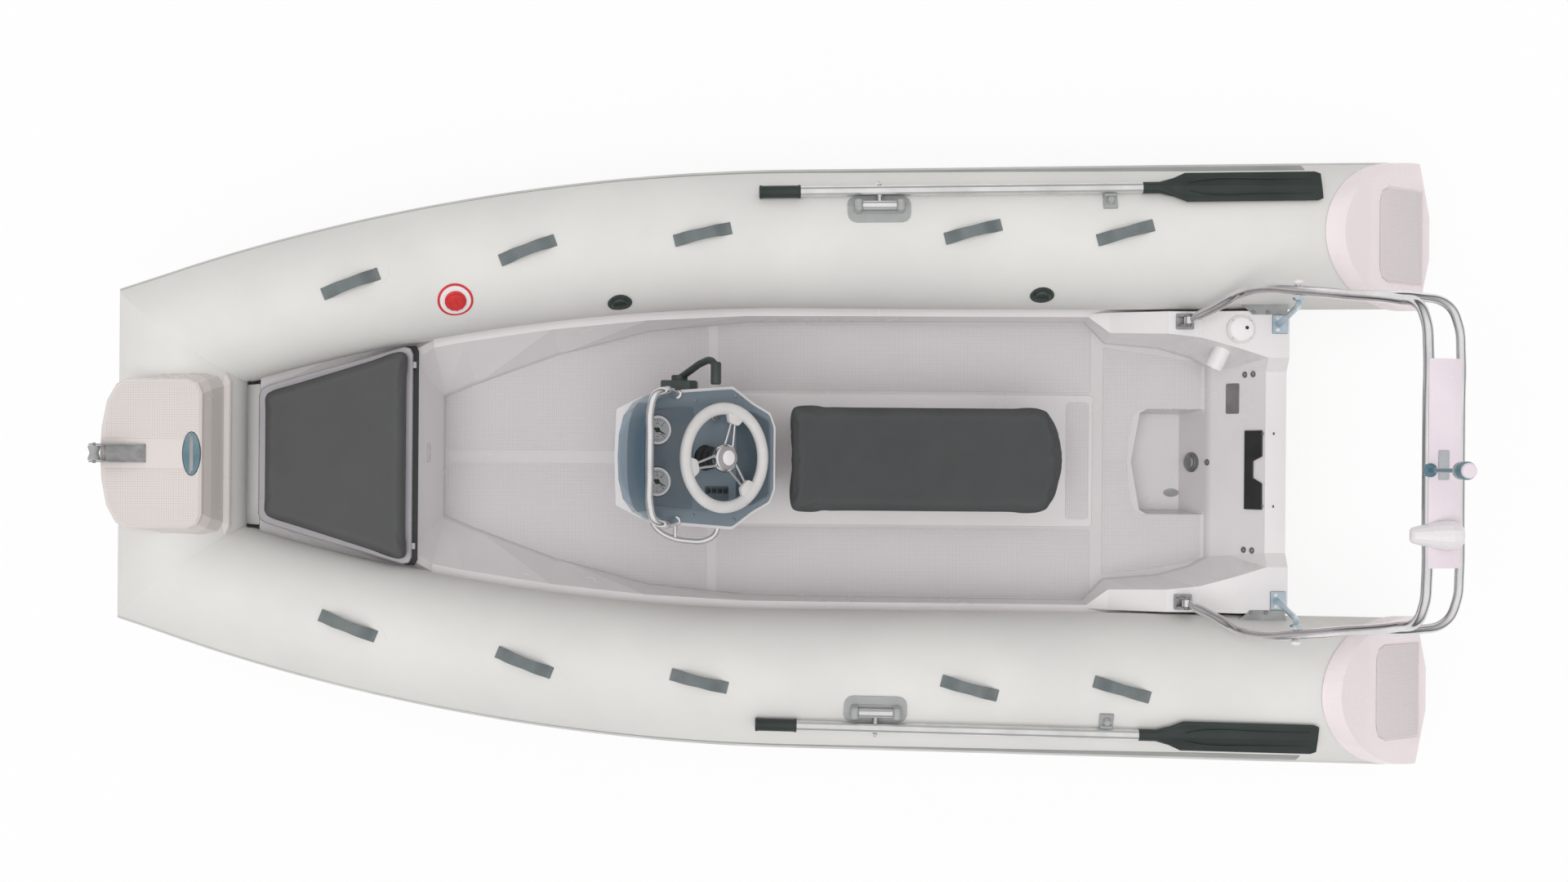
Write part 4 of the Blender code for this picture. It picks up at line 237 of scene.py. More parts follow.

# %% [markdown]
# The floor, the bow step and the stern caps have anti-slip fields: a close grid of small
# raised squares cast into the gelcoat. Two sine waves cut off flat give such a grid, and
# its valleys are tinted a darker grey than the studs.

# %% Group: tread grid


def build_tread():
    tree, given, result = new_group(
        "tread_grid", (("Pitch", NUMBER, 0.006), ("Stud Tint", COLOUR, (0.6, 0.57, 0.58, 1)),
                       ("Valley Tint", COLOUR, (0.5, 0.47, 0.48, 1))),
        (("Color", COLOUR), ("Height", NUMBER)))
    place = add_node(tree, "ShaderNodeTexCoord")
    split = add_node(tree, "ShaderNodeSeparateXYZ", {0: place.outputs["Object"]})
    waves = []
    for axis in ("X", "Y"):
        turns = add_node(tree, "ShaderNodeMath",
                         {0: split.outputs[axis], 1: given["Pitch"]}, operation="DIVIDE")
        angle = add_node(tree, "ShaderNodeMath", {0: turns.outputs["Value"], 1: math.tau},
                         operation="MULTIPLY")
        waves.append(add_node(tree, "ShaderNodeMath", {0: angle.outputs["Value"]},
                              operation="SINE").outputs["Value"])
    product = add_node(tree, "ShaderNodeMath", {0: waves[0], 1: waves[1]},
                       operation="MAXIMUM")
    studs = add_node(tree, "ShaderNodeMapRange",
                     {"Value": product.outputs["Value"], "From Min": 0.55, "From Max": 0.95,
                      "To Min": 1.0, "To Max": 0.0})
    # The valleys between the studs are tinted darker than the studs.
    tint = add_node(tree, "ShaderNodeMix", {"Factor": studs.outputs["Result"]},
                    data_type="RGBA")
    join(tree, given["Valley Tint"], tint.inputs["A"])
    join(tree, given["Stud Tint"], tint.inputs["B"])
    join(tree, tint.outputs["Result"], result["Color"])
    join(tree, studs.outputs["Result"], result["Height"])
    return tree


tread_grid = build_tread()
print("group", tread_grid.name)

# %% [markdown]
# A finish is a Principled shader fed by the groups. What stays the same all over, such as
# how metallic it is, sits on the shader's own socket. This helper builds the common case:
# a weathered tint, and if wanted one relief group that becomes a bump.

# %% Finish helper


def fill_group(tree, group, values):
    made = tree.nodes.new("ShaderNodeGroup")
    made.node_tree = group
    for socket, value in values.items():
        made.inputs[socket].default_value = value
    return made


def rgba(colour):
    return (*colour, 1.0)


def finish(name, tint, worn, gloss=(0.3, 0.4), clouds=3.0, relief=None, depth=0.0002,
           metallic=0.0, coat=0.0, specular=0.5, **relief_values):
    made = bpy.data.materials.new(name)
    made.use_nodes = True
    tree = made.node_tree
    shader = tree.nodes["Principled BSDF"]
    shader.inputs["Metallic"].default_value = metallic
    shader.inputs["Coat Weight"].default_value = coat
    shader.inputs["Specular IOR Level"].default_value = specular
    surface = fill_group(tree, weathered_tint,
                         {"Tint": rgba(tint), "Worn Tint": rgba(worn), "Cloud Scale": clouds,
                          "Gloss Low": gloss[0], "Gloss High": gloss[1]})
    join(tree, surface.outputs["Color"], shader.inputs["Base Color"])
    join(tree, surface.outputs["Roughness"], shader.inputs["Roughness"])
    if relief:
        raised = fill_group(tree, relief, {key.replace("_", " ").title(): value
                                           for key, value in relief_values.items()})
        bump = add_node(tree, "ShaderNodeBump",
                        {"Height": raised.outputs["Height"], "Distance": depth,
                         "Strength": 0.6})
        join(tree, bump.outputs["Normal"], shader.inputs["Normal"])
    return made


print("finish helper ready")

# %% [markdown]
# Three families of finish return on the boat, so each has a maker. Moulded goods have a
# grain, gelcoat has a thin clear coat over its tint, and metal is metallic all through.

# %% Makers of finishes


def moulded(name, tint, worn, gloss, clouds, depth=0.0001, cells=900.0, specular=0.5):
    """Grained plastic, rubber or vinyl. The depth of the grain is in metres."""
    return finish(name, tint, worn, gloss, clouds, moulded_grain, depth, specular=specular,
                  cells=cells)


def coated(name, tint, worn, gloss=(0.2, 0.34), clouds=2.5):
    """Gelcoat."""
    return finish(name, tint, worn, gloss, clouds, coat=0.15)


def metal(name, tint, worn, gloss, clouds):
    return finish(name, tint, worn, gloss, clouds, metallic=1.0)


print("makers ready")

# %% [markdown]
# Now the finishes themselves, from large to small. The whites differ: the tubes are a warm
# grey, the gelcoat is a cooler white with a shine, and cap and bow step have a pink tinge.
# Both cloths show the weave of the coated fabric. Its depth is less than a tenth of a
# millimetre, which is enough to break up the light on a curved tube.

# %% Finishes: fabric and gelcoat
WEAVE_DEPTH, THREADS = 0.00008, 260.0
tube_fabric = finish("tube_fabric", (0.76, 0.75, 0.725), (0.71, 0.70, 0.68), (0.5, 0.6), 2.0,
                     coated_weave, WEAVE_DEPTH, threads=THREADS)
band_rubber = finish("band_rubber", (0.30, 0.31, 0.30), (0.26, 0.27, 0.26), (0.45, 0.6), 4.0,
                     coated_weave, WEAVE_DEPTH, threads=THREADS)
gelcoat = coated("gelcoat", (0.69, 0.665, 0.67), (0.65, 0.625, 0.63), (0.16, 0.30))
cap_gelcoat = coated("cap_gelcoat", (0.87, 0.775, 0.79), (0.83, 0.74, 0.755))
step_gelcoat = coated("step_gelcoat", (0.73, 0.67, 0.645), (0.69, 0.635, 0.61))
white_gelcoat = coated("white_gelcoat", (0.84, 0.80, 0.815), (0.80, 0.76, 0.775),
                       (0.2, 0.32), 4.0)
panel_gelcoat = coated("panel_gelcoat", (0.86, 0.77, 0.82), (0.80, 0.70, 0.76), (0.2, 0.32),
                       4.0)
lid_gelcoat = coated("lid_gelcoat", (0.50, 0.48, 0.51), (0.46, 0.44, 0.47), clouds=3.0)
print(len(bpy.data.materials), "materials")

# %% [markdown]
# Rubber and vinyl are dull, and their grain is deeper than that of the plastics. The
# cushion at the bow is a shade lighter than the seat, so it has a tint of its own.

# %% Finishes: rubber and vinyl
vinyl = moulded("vinyl", (0.052, 0.055, 0.056), (0.063, 0.066, 0.067), (0.5, 0.62), 5.0,
                0.00025, 420.0, 0.35)
bow_vinyl = moulded("bow_vinyl", (0.073, 0.075, 0.074), (0.085, 0.087, 0.086), (0.5, 0.62),
                    5.0, 0.00025, 420.0, 0.35)
strap_rubber = moulded("strap_rubber", (0.135, 0.158, 0.163), (0.18, 0.20, 0.20),
                       (0.5, 0.65), 14.0, 0.0002, 700.0)
pale_rubber = moulded("pale_rubber", (0.42, 0.43, 0.425), (0.37, 0.38, 0.375), (0.5, 0.62),
                      10.0, 0.00015, 800.0)
strake_rubber = moulded("strake_rubber", (0.66, 0.65, 0.62), (0.58, 0.57, 0.55), (0.5, 0.6),
                        5.0, 0.0002, 500.0)
print(len(bpy.data.materials), "materials")

# %% [markdown]
# The plastics run from the black of the switches to the pale rim of the wheel. The dash is
# a dark blue-grey with a darker field. The tray at its aft edge is darker still, a painted
# shade of a deep tray, and the switch plate shares that dark finish. Screen and lens are
# smooth, because a clear sheet has no grain, and are kept opaque: from above one sees their
# tint alone.

# %% Finishes: plastic
dark_plastic = moulded("dark_plastic", (0.030, 0.040, 0.038), (0.042, 0.054, 0.050),
                       (0.35, 0.5), 12.0, 0.00012)
oar_plastic = moulded("oar_plastic", (0.022, 0.030, 0.028), (0.032, 0.041, 0.039),
                      (0.42, 0.55), 8.0, 0.00015, 700.0, 0.4)
black_plastic = moulded("black_plastic", (0.012, 0.013, 0.013), (0.022, 0.024, 0.024),
                        (0.35, 0.5), 12.0)
red_plastic = moulded("red_plastic", (0.66, 0.035, 0.035), (0.55, 0.03, 0.03), (0.35, 0.5),
                      20.0)
wheel_plastic = moulded("wheel_plastic", (0.69, 0.675, 0.66), (0.64, 0.62, 0.61),
                        (0.35, 0.5), 14.0, 0.00012, 800.0)
hub_plastic = moulded("hub_plastic", (0.36, 0.33, 0.34), (0.31, 0.28, 0.29), (0.3, 0.45),
                      20.0)
DASH_GRAIN = 0.00008
dash_plastic = moulded("dash_plastic", (0.150, 0.190, 0.225), (0.170, 0.210, 0.245),
                       (0.26, 0.40), 9.0, DASH_GRAIN)
dash_field = moulded("dash_field", (0.118, 0.148, 0.175), (0.135, 0.165, 0.192),
                     (0.26, 0.40), 9.0, DASH_GRAIN)
# A darker finish still: on the tray it paints the shade of a deep tray, and it also colours the
# switch plate.
dash_tray = moulded("dash_tray", (0.060, 0.085, 0.106), (0.072, 0.097, 0.118), (0.3, 0.45),
                    9.0, DASH_GRAIN)
screen_plastic = finish("screen_plastic", (0.165, 0.265, 0.335), (0.15, 0.24, 0.31),
                        (0.08, 0.16), 6.0)
screen_shade = finish("screen_shade", (0.075, 0.122, 0.163), (0.085, 0.137, 0.178),
                      (0.10, 0.20), 6.0)
dial_plastic = finish("dial_plastic", (0.47, 0.48, 0.49), (0.42, 0.43, 0.44), (0.25, 0.35),
                      30.0)
lamp_lens = finish("lamp_lens", (0.11, 0.215, 0.265), (0.09, 0.19, 0.235), (0.05, 0.12), 20.0)
print(len(bpy.data.materials), "materials")

# %% [markdown]
# Polished tube is smooth and bright, cast and pressed fittings are duller. The transom
# board is bare plywood where its edge shows.

# %% Finishes: metal and wood
oar_alloy = metal("oar_alloy", (0.80, 0.80, 0.79), (0.70, 0.70, 0.69), (0.30, 0.42), 9.0)
stainless = metal("stainless", (0.80, 0.785, 0.79), (0.68, 0.67, 0.68), (0.08, 0.2), 9.0)
zinc = metal("zinc", (0.42, 0.42, 0.425), (0.35, 0.35, 0.355), (0.35, 0.5), 14.0)
cleat_steel = metal("cleat_steel", (0.20, 0.30, 0.34), (0.15, 0.23, 0.27), (0.12, 0.25), 20.0)
dull_steel = metal("dull_steel", (0.36, 0.355, 0.36), (0.28, 0.28, 0.285), (0.25, 0.4), 30.0)
blue_steel = metal("blue_steel", (0.52, 0.62, 0.68), (0.44, 0.54, 0.60), (0.25, 0.4), 20.0)
bare_wood = finish("bare_wood", (0.45, 0.33, 0.20), (0.36, 0.25, 0.14), (0.55, 0.7), 12.0)
print(len(bpy.data.materials), "materials")

# %% [markdown]
# The tread finish is different, because its grid also colours it: the grooves between the
# studs are darker. The grid is drawn in metres on the object, so it has the same pitch on
# every field, whatever the size of the plate.

# %% Tread finish


def tread_finish(name, stud_tint, valley_tint, pitch, depth):
    made = bpy.data.materials.new(name)
    made.use_nodes = True
    tree = made.node_tree
    shader = tree.nodes["Principled BSDF"]
    grid = fill_group(tree, tread_grid, {"Pitch": pitch, "Stud Tint": rgba(stud_tint),
                                         "Valley Tint": rgba(valley_tint)})
    wear = fill_group(tree, weathered_tint, {"Gloss Low": 0.4, "Gloss High": 0.55,
                                             "Cloud Scale": 3.0})
    bump = add_node(tree, "ShaderNodeBump", {"Height": grid.outputs["Height"],
                                             "Distance": depth, "Strength": 0.7})
    join(tree, grid.outputs["Color"], shader.inputs["Base Color"])
    join(tree, wear.outputs["Roughness"], shader.inputs["Roughness"])
    join(tree, bump.outputs["Normal"], shader.inputs["Normal"])
    return made


floor_tread = tread_finish("floor_tread", (0.635, 0.603, 0.618), (0.535, 0.503, 0.518), 0.0075,
                           0.0006)
step_tread = tread_finish("step_tread", (0.74, 0.68, 0.66), (0.62, 0.57, 0.555), 0.0075,
                          0.0005)
cap_tread = tread_finish("cap_tread", (0.74, 0.675, 0.685), (0.64, 0.58, 0.59), 0.0080,
                         0.0005)
print("tread", floor_tread.name)

# %% [markdown]
# Floor and sides of the deck are one moulding. The floor lies deeper, where less light comes
# in, so the same finish carries a painted shade below the level at which the sides begin: its
# tint is darkened a little there. The level is read from the object's own height.

# %% Finish of the deck moulding
FLOOR_SHADE_FROM, FLOOR_SHADE_TO, FLOOR_SHADE_LEAST = 0.303, 0.330, 0.76
liner_gelcoat = coated("liner_gelcoat", (0.80, 0.772, 0.778), (0.76, 0.732, 0.738),
                       (0.16, 0.30))
tree = liner_gelcoat.node_tree
place = add_node(tree, "ShaderNodeTexCoord")
level = add_node(tree, "ShaderNodeSeparateXYZ", {0: place.outputs["Object"]})
# Below the level of the sides the tint is darkened a little: a painted shade of the deep floor.
floor_shade = add_node(tree, "ShaderNodeMapRange", {"Value": level.outputs["Z"],
                                             "From Min": FLOOR_SHADE_FROM, "From Max": FLOOR_SHADE_TO,
                                             "To Min": FLOOR_SHADE_LEAST, "To Max": 1.0})
shader = tree.nodes["Principled BSDF"]
tint = shader.inputs["Base Color"].links[0].from_socket
dimmed = add_node(tree, "ShaderNodeVectorMath", {0: tint, 1: floor_shade.outputs["Result"]},
                  operation="MULTIPLY")
join(tree, dimmed.outputs["Vector"], shader.inputs["Base Color"])
print("floor dimmed below", FLOOR_SHADE_TO, "m")

# %% [markdown]
# Each piece of the frame gets the finish of its slot, or one of its own where it differs
# from its neighbours. The new finish takes the old one's place in the piece's material
# slot, which changes the look and leaves the shape alone.

# %% Dress the frame
FINISHES = {
    "tube_fabric": tube_fabric, "gelcoat": gelcoat, "strap_rubber": strap_rubber,
    "pale_rubber": pale_rubber, "strake_rubber": strake_rubber, "oar_plastic": oar_plastic,
    "oar_alloy": oar_alloy, "stainless": stainless, "black_plastic": dark_plastic,
    "dash_plastic": dash_plastic, "tinted_screen": screen_plastic,
    "wheel_plastic": wheel_plastic, "marine_ply": bare_wood, "vinyl": vinyl,
}
OWN_FINISHES = {"end_cap_starboard": cap_gelcoat, "end_cap_port": cap_gelcoat,
                "bow_step": step_gelcoat, "engine_pad": black_plastic,
                "bow_cleat": cleat_steel, "bow_roller_bracket": dull_steel,
                "bow_roller": pale_rubber, "helm": black_plastic,
                "horn_pod": white_gelcoat, "deck_liner": liner_gelcoat,
                "locker_lid": lid_gelcoat,
                "arch_foot_starboard": dull_steel, "arch_foot_port": dull_steel,
                "arch_strut_starboard": blue_steel, "arch_strut_port": blue_steel,
                "arch_lock_knob_starboard": white_gelcoat,
                "arch_lock_knob_port": white_gelcoat}
for entry in frame["record"]["subparts"]:
    piece = nodes[entry["node"]]
    chosen = OWN_FINISHES.get(entry["node"], FINISHES[entry["material_slot"]])
    piece.data.materials.clear()
    piece.data.materials.append(chosen)
print("dressed", len(nodes), "pieces")

# %% [markdown]
# New pieces end the same way: place, scale and turn go into the mesh, edges sharper than
# an angle stay crisp, and the piece is named, finished and tied to a body. Before that a
# piece is worked on with modifiers that are applied at once, and with edit-mode operators
# on all of its points. Faces are turned outward whenever an operator may have flipped them.

# %% Shaping and ending a piece


def settle(name, material, body="boat", crease=35.0, replaces=None):
    """Ends the active piece."""
    if bpy.context.object.mode == "EDIT":
        bpy.ops.object.mode_set(mode="OBJECT")
    piece = pick(bpy.context.object)
    bpy.ops.object.transform_apply(location=True, rotation=True, scale=True)
    bpy.ops.object.shade_smooth_by_angle(angle=math.radians(crease))
    piece.name = name
    piece.data.name = name
    piece.data.materials.clear()
    piece.data.materials.append(material)
    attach(piece, body)
    if replaces:
        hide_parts(replaces)
    return piece


def apply(kind, **settings):
    """Adds a modifier to the active piece and applies it."""
    piece = bpy.context.object
    modifier = piece.modifiers.new("step", kind)
    for key, value in settings.items():
        setattr(modifier, key, value)
    bpy.ops.object.modifier_apply(modifier=modifier.name)
    return piece


def soften(width, segments=2, angle=40.0):
    """Rounds the active piece's hard edges."""
    return apply("BEVEL", width=width, segments=segments, limit_method="ANGLE",
                 angle_limit=math.radians(angle))


def edited(operator, **settings):
    """Runs one edit-mode operator on the whole of the active piece."""
    bpy.ops.object.mode_set(mode="EDIT")
    bpy.ops.mesh.select_all(action="SELECT")
    operator(**settings)
    bpy.ops.object.mode_set(mode="OBJECT")
    return bpy.context.object


def outward():
    """Turns the active piece's faces outward."""
    return edited(bpy.ops.mesh.normals_make_consistent, inside=False)


def welded(gap):
    """Joins points of the active piece that lie closer than a gap."""
    return edited(bpy.ops.mesh.remove_doubles, threshold=gap)


print("shaping helpers ready")

# %% [markdown]
# A piece is shaped at the middle of the world, where its measures are easy to write, and
# then carried to its place. The move goes into the mesh, not the object, so that the object
# stays at the origin, where the export and the patterns of the finishes expect it.

# %% Places, copies and joins


def axes(origin, x, y, z):
    """A place with its three directions."""
    return Matrix.Translation(origin) @ Matrix((x, y, z)).transposed().to_4x4()


def shifted(x=0.0, y=0.0, z=0.0):
    return Matrix.Translation((x, y, z))


def spun(degrees):
    return Matrix.Rotation(math.radians(degrees), 4, "Z")


def at(piece, matrix):
    """Moves a finished shape to its place."""
    piece.data.transform(matrix)
    if matrix.to_3x3().determinant() < 0:
        piece.data.flip_normals()
    return piece


def twin(piece):
    """A second piece with its own mesh."""
    made = piece.copy()
    made.data = piece.data.copy()
    bpy.context.scene.collection.objects.link(made)
    return pick(made)


def merged(pieces):
    """Joins shapes into one piece, which becomes the active one."""
    deselect()
    for piece in pieces:
        piece.select_set(True)
    bpy.context.view_layer.objects.active = pieces[0]
    bpy.ops.object.join()
    return pick(pieces[0])


print("placing helpers ready")

# %% [markdown]
# ## The inflated tubes
# A tube of such a boat is cut from flat cloth: straight at the stern, tapering forward,
# curving in and rising to the bow. The frame holds it with 24 flats. Here it gets a truly
# round skin. The middle line and the radius are formulas of the place along the boat, so
# that patches and tapes can be laid on the skin with the same formulas.

# %% The tubes' form
STRAIGHT_X, CORNER_X = 2.0, -1.94191
STERN_SPACING, TAPER, FLARE = 0.75175, 0.055, 0.31525
STERN_RADIUS, BOW_RADIUS = 0.240, 0.200
ROUNDNESS = 0.9957
AXIS_HEIGHT, SHEER = 0.500, 0.200
BOW_HEIGHT = AXIS_HEIGHT + SHEER


def tube_centre(x, side):
    along = (STRAIGHT_X - x) / (STRAIGHT_X - CORNER_X)
    flare = max(2 * along - 1, 0.0)
    lift = max(along, 0.0)
    return Vector((x, side * (STERN_SPACING - TAPER * along - FLARE * flare ** 2),
                   AXIS_HEIGHT + SHEER * lift ** 5 * (6 - 5 * lift)))


def tube_frame(x, side):
    """Centre, aft, outboard and up directions, and radius. Side 0 is the tube at the bow."""
    if side == 0:
        return (Vector((CORNER_X, x, BOW_HEIGHT)), Vector((0, 1, 0)), Vector((-1, 0, 0)),
                Vector((0, 0, 1)), BOW_RADIUS * ROUNDNESS)
    place = max(x, CORNER_X)
    ahead, behind = tube_centre(place - 0.0005, side), tube_centre(place + 0.0005, side)
    aft = (behind - ahead).normalized()
    out = Vector((-aft.y, aft.x, 0)).normalized() * side
    along = min(max((STRAIGHT_X - place) / (STRAIGHT_X - CORNER_X), 0.0), 1.0)
    radius = STERN_RADIUS - (STERN_RADIUS - BOW_RADIUS) * along ** 1.5
    centre = tube_centre(place, side) + aft * ((x - place) / aft.x)
    return centre, aft, out, aft.cross(out) * side, radius * ROUNDNESS


def on_skin(x, angle, side, rise=0.0):
    """A point on the skin. The angle is 0 at the widest line and 90 degrees on top."""
    centre, aft, out, up, radius = tube_frame(x, side)
    turn = math.radians(angle)
    return centre + (radius + rise) * (math.cos(turn) * out + math.sin(turn) * up)


def skin_place(x, angle, side, toe=0.0):
    """A place on the skin: X aft, Y to starboard, Z straight out."""
    centre, aft, out, up, radius = tube_frame(x, side)
    turn = math.radians(angle)
    normal = math.cos(turn) * out + math.sin(turn) * up
    return (axes(centre + radius * normal, aft, normal.cross(aft), normal)
            @ spun(side * toe))


print("stern radius", round(tube_frame(2.0, 1)[4], 3), "bow radius",
      round(tube_frame(CORNER_X, 1)[4], 3))

# %% [markdown]
# Rolling works like papering a pipe: a flat grid is made, and each of its points is laid
# at its place along and round the tube. Cutting at the mitre of the bow corner and at the
# stern is then done with the bisect tool, as one would saw the finished tube.

# %% Rolling and cutting
TUBE_START, TUBE_STEPS_ROUND = -2.30, 96
BOW_START, BOW_END = -0.75, 0.75
TUBE_WELD = 0.00005
SIDES = (("starboard", 1), ("port", -1))


def flat_grid(columns, rows):
    """A flat mesh of squares between -1 and 1, whose points are then laid on a surface."""
    deselect()
    bpy.ops.mesh.primitive_grid_add(x_subdivisions=columns, y_subdivisions=rows, size=2.0)
    return bpy.context.object


def rolled(side, start, end, low, high, steps, across, rise=0.0, crowd=1.0):
    """A flat grid rolled on a tube between two places and two angles."""
    piece = flat_grid(steps, across)
    for vertex in piece.data.vertices:
        along, round_it = (vertex.co.x + 1) / 2, (vertex.co.y + 1) / 2
        if side >= 0:
            round_it = 1 - round_it
        x = start + (end - start) * along ** crowd
        top = high(x) if callable(high) else high
        height = rise(round_it) if callable(rise) else rise
        vertex.co = on_skin(x, low + (top - low) * round_it, side, height)
    return piece


def saw(point, normal):
    """Cuts the active piece with a plane and drops what the normal points to."""
    edited(bpy.ops.mesh.bisect, plane_co=point, plane_no=normal, use_fill=True,
           clear_outer=True)


def saw_mitre(side, keep_bow=False):
    """Cuts the active piece at the mitre of a bow corner."""
    aft = tube_frame(CORNER_X, side)[1]
    normal = (Vector((0, -side, 0)) - aft).normalized()
    saw(tube_centre(CORNER_X, side), -normal if keep_bow else normal)


print("rolling tools ready")

# %% [markdown]
# The stern of each tube is closed by an oblique plane over a short upright one, and the
# end cap has the same planes a wall further out. One function saws them all, and an inset
# tells how far inside the cap's outer face the cuts lie. The tube is rolled well past the
# planes first, so that every cut meets a full round and closes it with one flat face.

# %% Stern planes
HALF_LENGTH = 2.155
KNEE_HEIGHT = 0.450
PAST_STERN = 2.50
SKIN_INSET = 0.0123
SLOPE_RISE, SLOPE_RUN = 0.290, 0.352
SLOPE_LOOK = Vector((SLOPE_RISE, 0, SLOPE_RUN)).normalized()
BULGE_ANGLE = math.radians(14.0)
BULGE_HALF = 0.070


def saw_stern(side, inset):
    knee = Vector((HALF_LENGTH, tube_centre(HALF_LENGTH, side).y, KNEE_HEIGHT))
    saw(knee - SLOPE_LOOK * inset, SLOPE_LOOK)
    saw(knee - Vector((inset, 0, 0)), Vector((1, 0, 0)))
    for turn in (-1, 1):
        look = Vector((math.cos(BULGE_ANGLE), turn * math.sin(BULGE_ANGLE), 0))
        saw(knee + Vector((0, turn * BULGE_HALF, 0)) - look * inset, look)


def stern_solid(side, start, rise, inset, mitred=False):
    """A closed length of tube that ends in the stern planes."""
    steps, crowd = (84, 1.2) if mitred else (12, 1.0)
    piece = rolled(side, start, PAST_STERN, 0.0, 360.0, steps, TUBE_STEPS_ROUND, rise, crowd)
    welded(TUBE_WELD)
    if mitred:
        saw_mitre(side)
    else:
        saw(Vector((start + 0.02, 0, 0)), Vector((-1, 0, 0)))
    saw_stern(side, inset)
    outward()
    return piece


for name, side in SIDES:
    stern_solid(side, TUBE_START, 0.0, SKIN_INSET, mitred=True)
    skin = settle(f"skin_{name}", tube_fabric, replaces=f"tube_{name}")
    print(skin.name, len(skin.data.polygons), "faces")

# %% [markdown]
# The bow tube is short and straight, mitred at both ends. It is rolled over-long in the same
# way and sawn with the planes of the two corners, so its ends fit those of the side tubes.

# %% Bow tube
rolled(0, BOW_START, BOW_END, 0.0, 360.0, 24, TUBE_STEPS_ROUND)
welded(TUBE_WELD)
for name, side in SIDES:
    saw_mitre(side, keep_bow=True)
outward()
settle("skin_bow", tube_fabric, replaces="tube_bow")
print("bow tube", len(bpy.context.object.data.polygons), "faces")

# %% [markdown]
# ## Strake and band
# A half-round rubber strake runs along the widest line of the tubes and takes the knocks
# of the quay. Above it lies a flat grey band of coated cloth, narrow at the bow and
# broad at the stern. Both are rolled strips with a wall given by Solidify.

# %% Strake
STRAKE_HALF_ANGLE = 4.5
STRAKE_RISE = 0.0098
STRAKE_END = 2.003
STRAKE_WALL, STRAKE_SUNK = 0.006, 0.001


def strake_rise(share):
    """Height over the skin from edge to edge: round in the middle, with edges in the skin."""
    return STRAKE_RISE * (1 - abs(2 * share - 1) ** 3.5) - STRAKE_SUNK


runs = []
for side, start, end in ((1, TUBE_START, STRAKE_END), (-1, TUBE_START, STRAKE_END),
                         (0, BOW_START, BOW_END)):
    run = rolled(side, start, end, -STRAKE_HALF_ANGLE, STRAKE_HALF_ANGLE, 60, 8, strake_rise)
    apply("SOLIDIFY", thickness=STRAKE_WALL, offset=-1.0)
    for corner in ((side,) if side else (1, -1)):
        saw_mitre(corner, keep_bow=side == 0)
    outward()
    runs.append(run)
merged(runs)
settle("strake", strake_rubber, replaces="rub_strake")
print("strake in", len(runs), "runs")

# %% [markdown]
# The band is one strip of cloth, cut wider toward the stern. Its upper edge is a function
# of the place along the boat, so one rolled grid gives the whole strip.

# %% Grey band
BAND_THICK, BAND_SUNK = 0.0009, 0.002
BAND_LOW, BAND_NARROW, BAND_WIDENS = 5.4, 2.2, 20.0
BAND_START, BAND_RUN, BAND_END = -1.95, 3.3, 1.70


def band_top(x):
    """Upper edge of the band in degrees: narrow at the bow, broad at the stern."""
    share = min(max((x - BAND_START) / BAND_RUN, 0.0), 1.0)
    return BAND_LOW + BAND_NARROW + BAND_WIDENS * share ** 1.2


for name, side in SIDES:
    rolled(side, TUBE_START, BAND_END, BAND_LOW, band_top, 70, 4, BAND_THICK)
    apply("SOLIDIFY", thickness=BAND_THICK + BAND_SUNK, offset=-1.0)
    saw_mitre(side)
    outward()
    settle(f"band_{name}", band_rubber)
rolled(0, BOW_START, BOW_END, BAND_LOW, BAND_LOW + BAND_NARROW, 12, 2, BAND_THICK)
apply("SOLIDIFY", thickness=BAND_THICK + BAND_SUNK, offset=-1.0)
for name, side in SIDES:
    saw_mitre(side, keep_bow=True)
outward()
settle("band_bow", band_rubber)
print("bands end at", BAND_END, "m")

# %% [markdown]
# Flat goods such as lids, plates and brackets start as a circle with as many corners as the
# outline has. Its corners are moved to the outline and rounded, and the face is raised to
# the plate's thickness. A plan that is the same on both sides is given by its starboard
# half. Holes and recesses are cut with a Boolean, whose cutter is then removed.

# %% Plates and cuts


def plate(corners, thick, corner_radius=0.0, lip=0.0, segments=5):
    """A flat plate from its corner points, raised by its thickness."""
    deselect()
    bpy.ops.mesh.primitive_circle_add(vertices=len(corners), fill_type="NGON")
    piece = bpy.context.object
    for vertex, (x, y) in zip(piece.data.vertices, corners):
        vertex.co = (x, y, 0.0)
    piece.data.update()
    bpy.ops.object.mode_set(mode="EDIT")
    bpy.ops.mesh.select_all(action="SELECT")
    if corner_radius:
        bpy.ops.mesh.bevel(offset=corner_radius, segments=segments, affect="VERTICES")
    bpy.ops.mesh.select_all(action="SELECT")
    bpy.ops.mesh.extrude_region_move(TRANSFORM_OT_translate={"value": (0, 0, thick)})
    bpy.ops.object.mode_set(mode="OBJECT")
    outward()
    if lip:
        soften(lip, 2, 60.0)
    return piece


def both(half):
    """A closed plan from its starboard half, whose ends lie on the middle line."""
    return list(half) + [(x, -y) for x, y in reversed(half) if abs(y) > 1e-6]


def carve(piece, cutter):
    """Cuts one shape out of another, and removes the cutter."""
    pick(piece)
    apply("BOOLEAN", operation="DIFFERENCE", object=cutter, solver="EXACT")
    bpy.data.objects.remove(cutter)
    return piece


print("plates can be cut")

# %% [markdown]
# ## End caps
# A hard cap closes each tube: an oblique plate with a skirt that grips the fabric. It is
# the stern solid a lip larger, hollowed by two inner solids, with its edges rounded. Its
# foot plate lies in a shallow recess, and is a separate ribbed plate here.

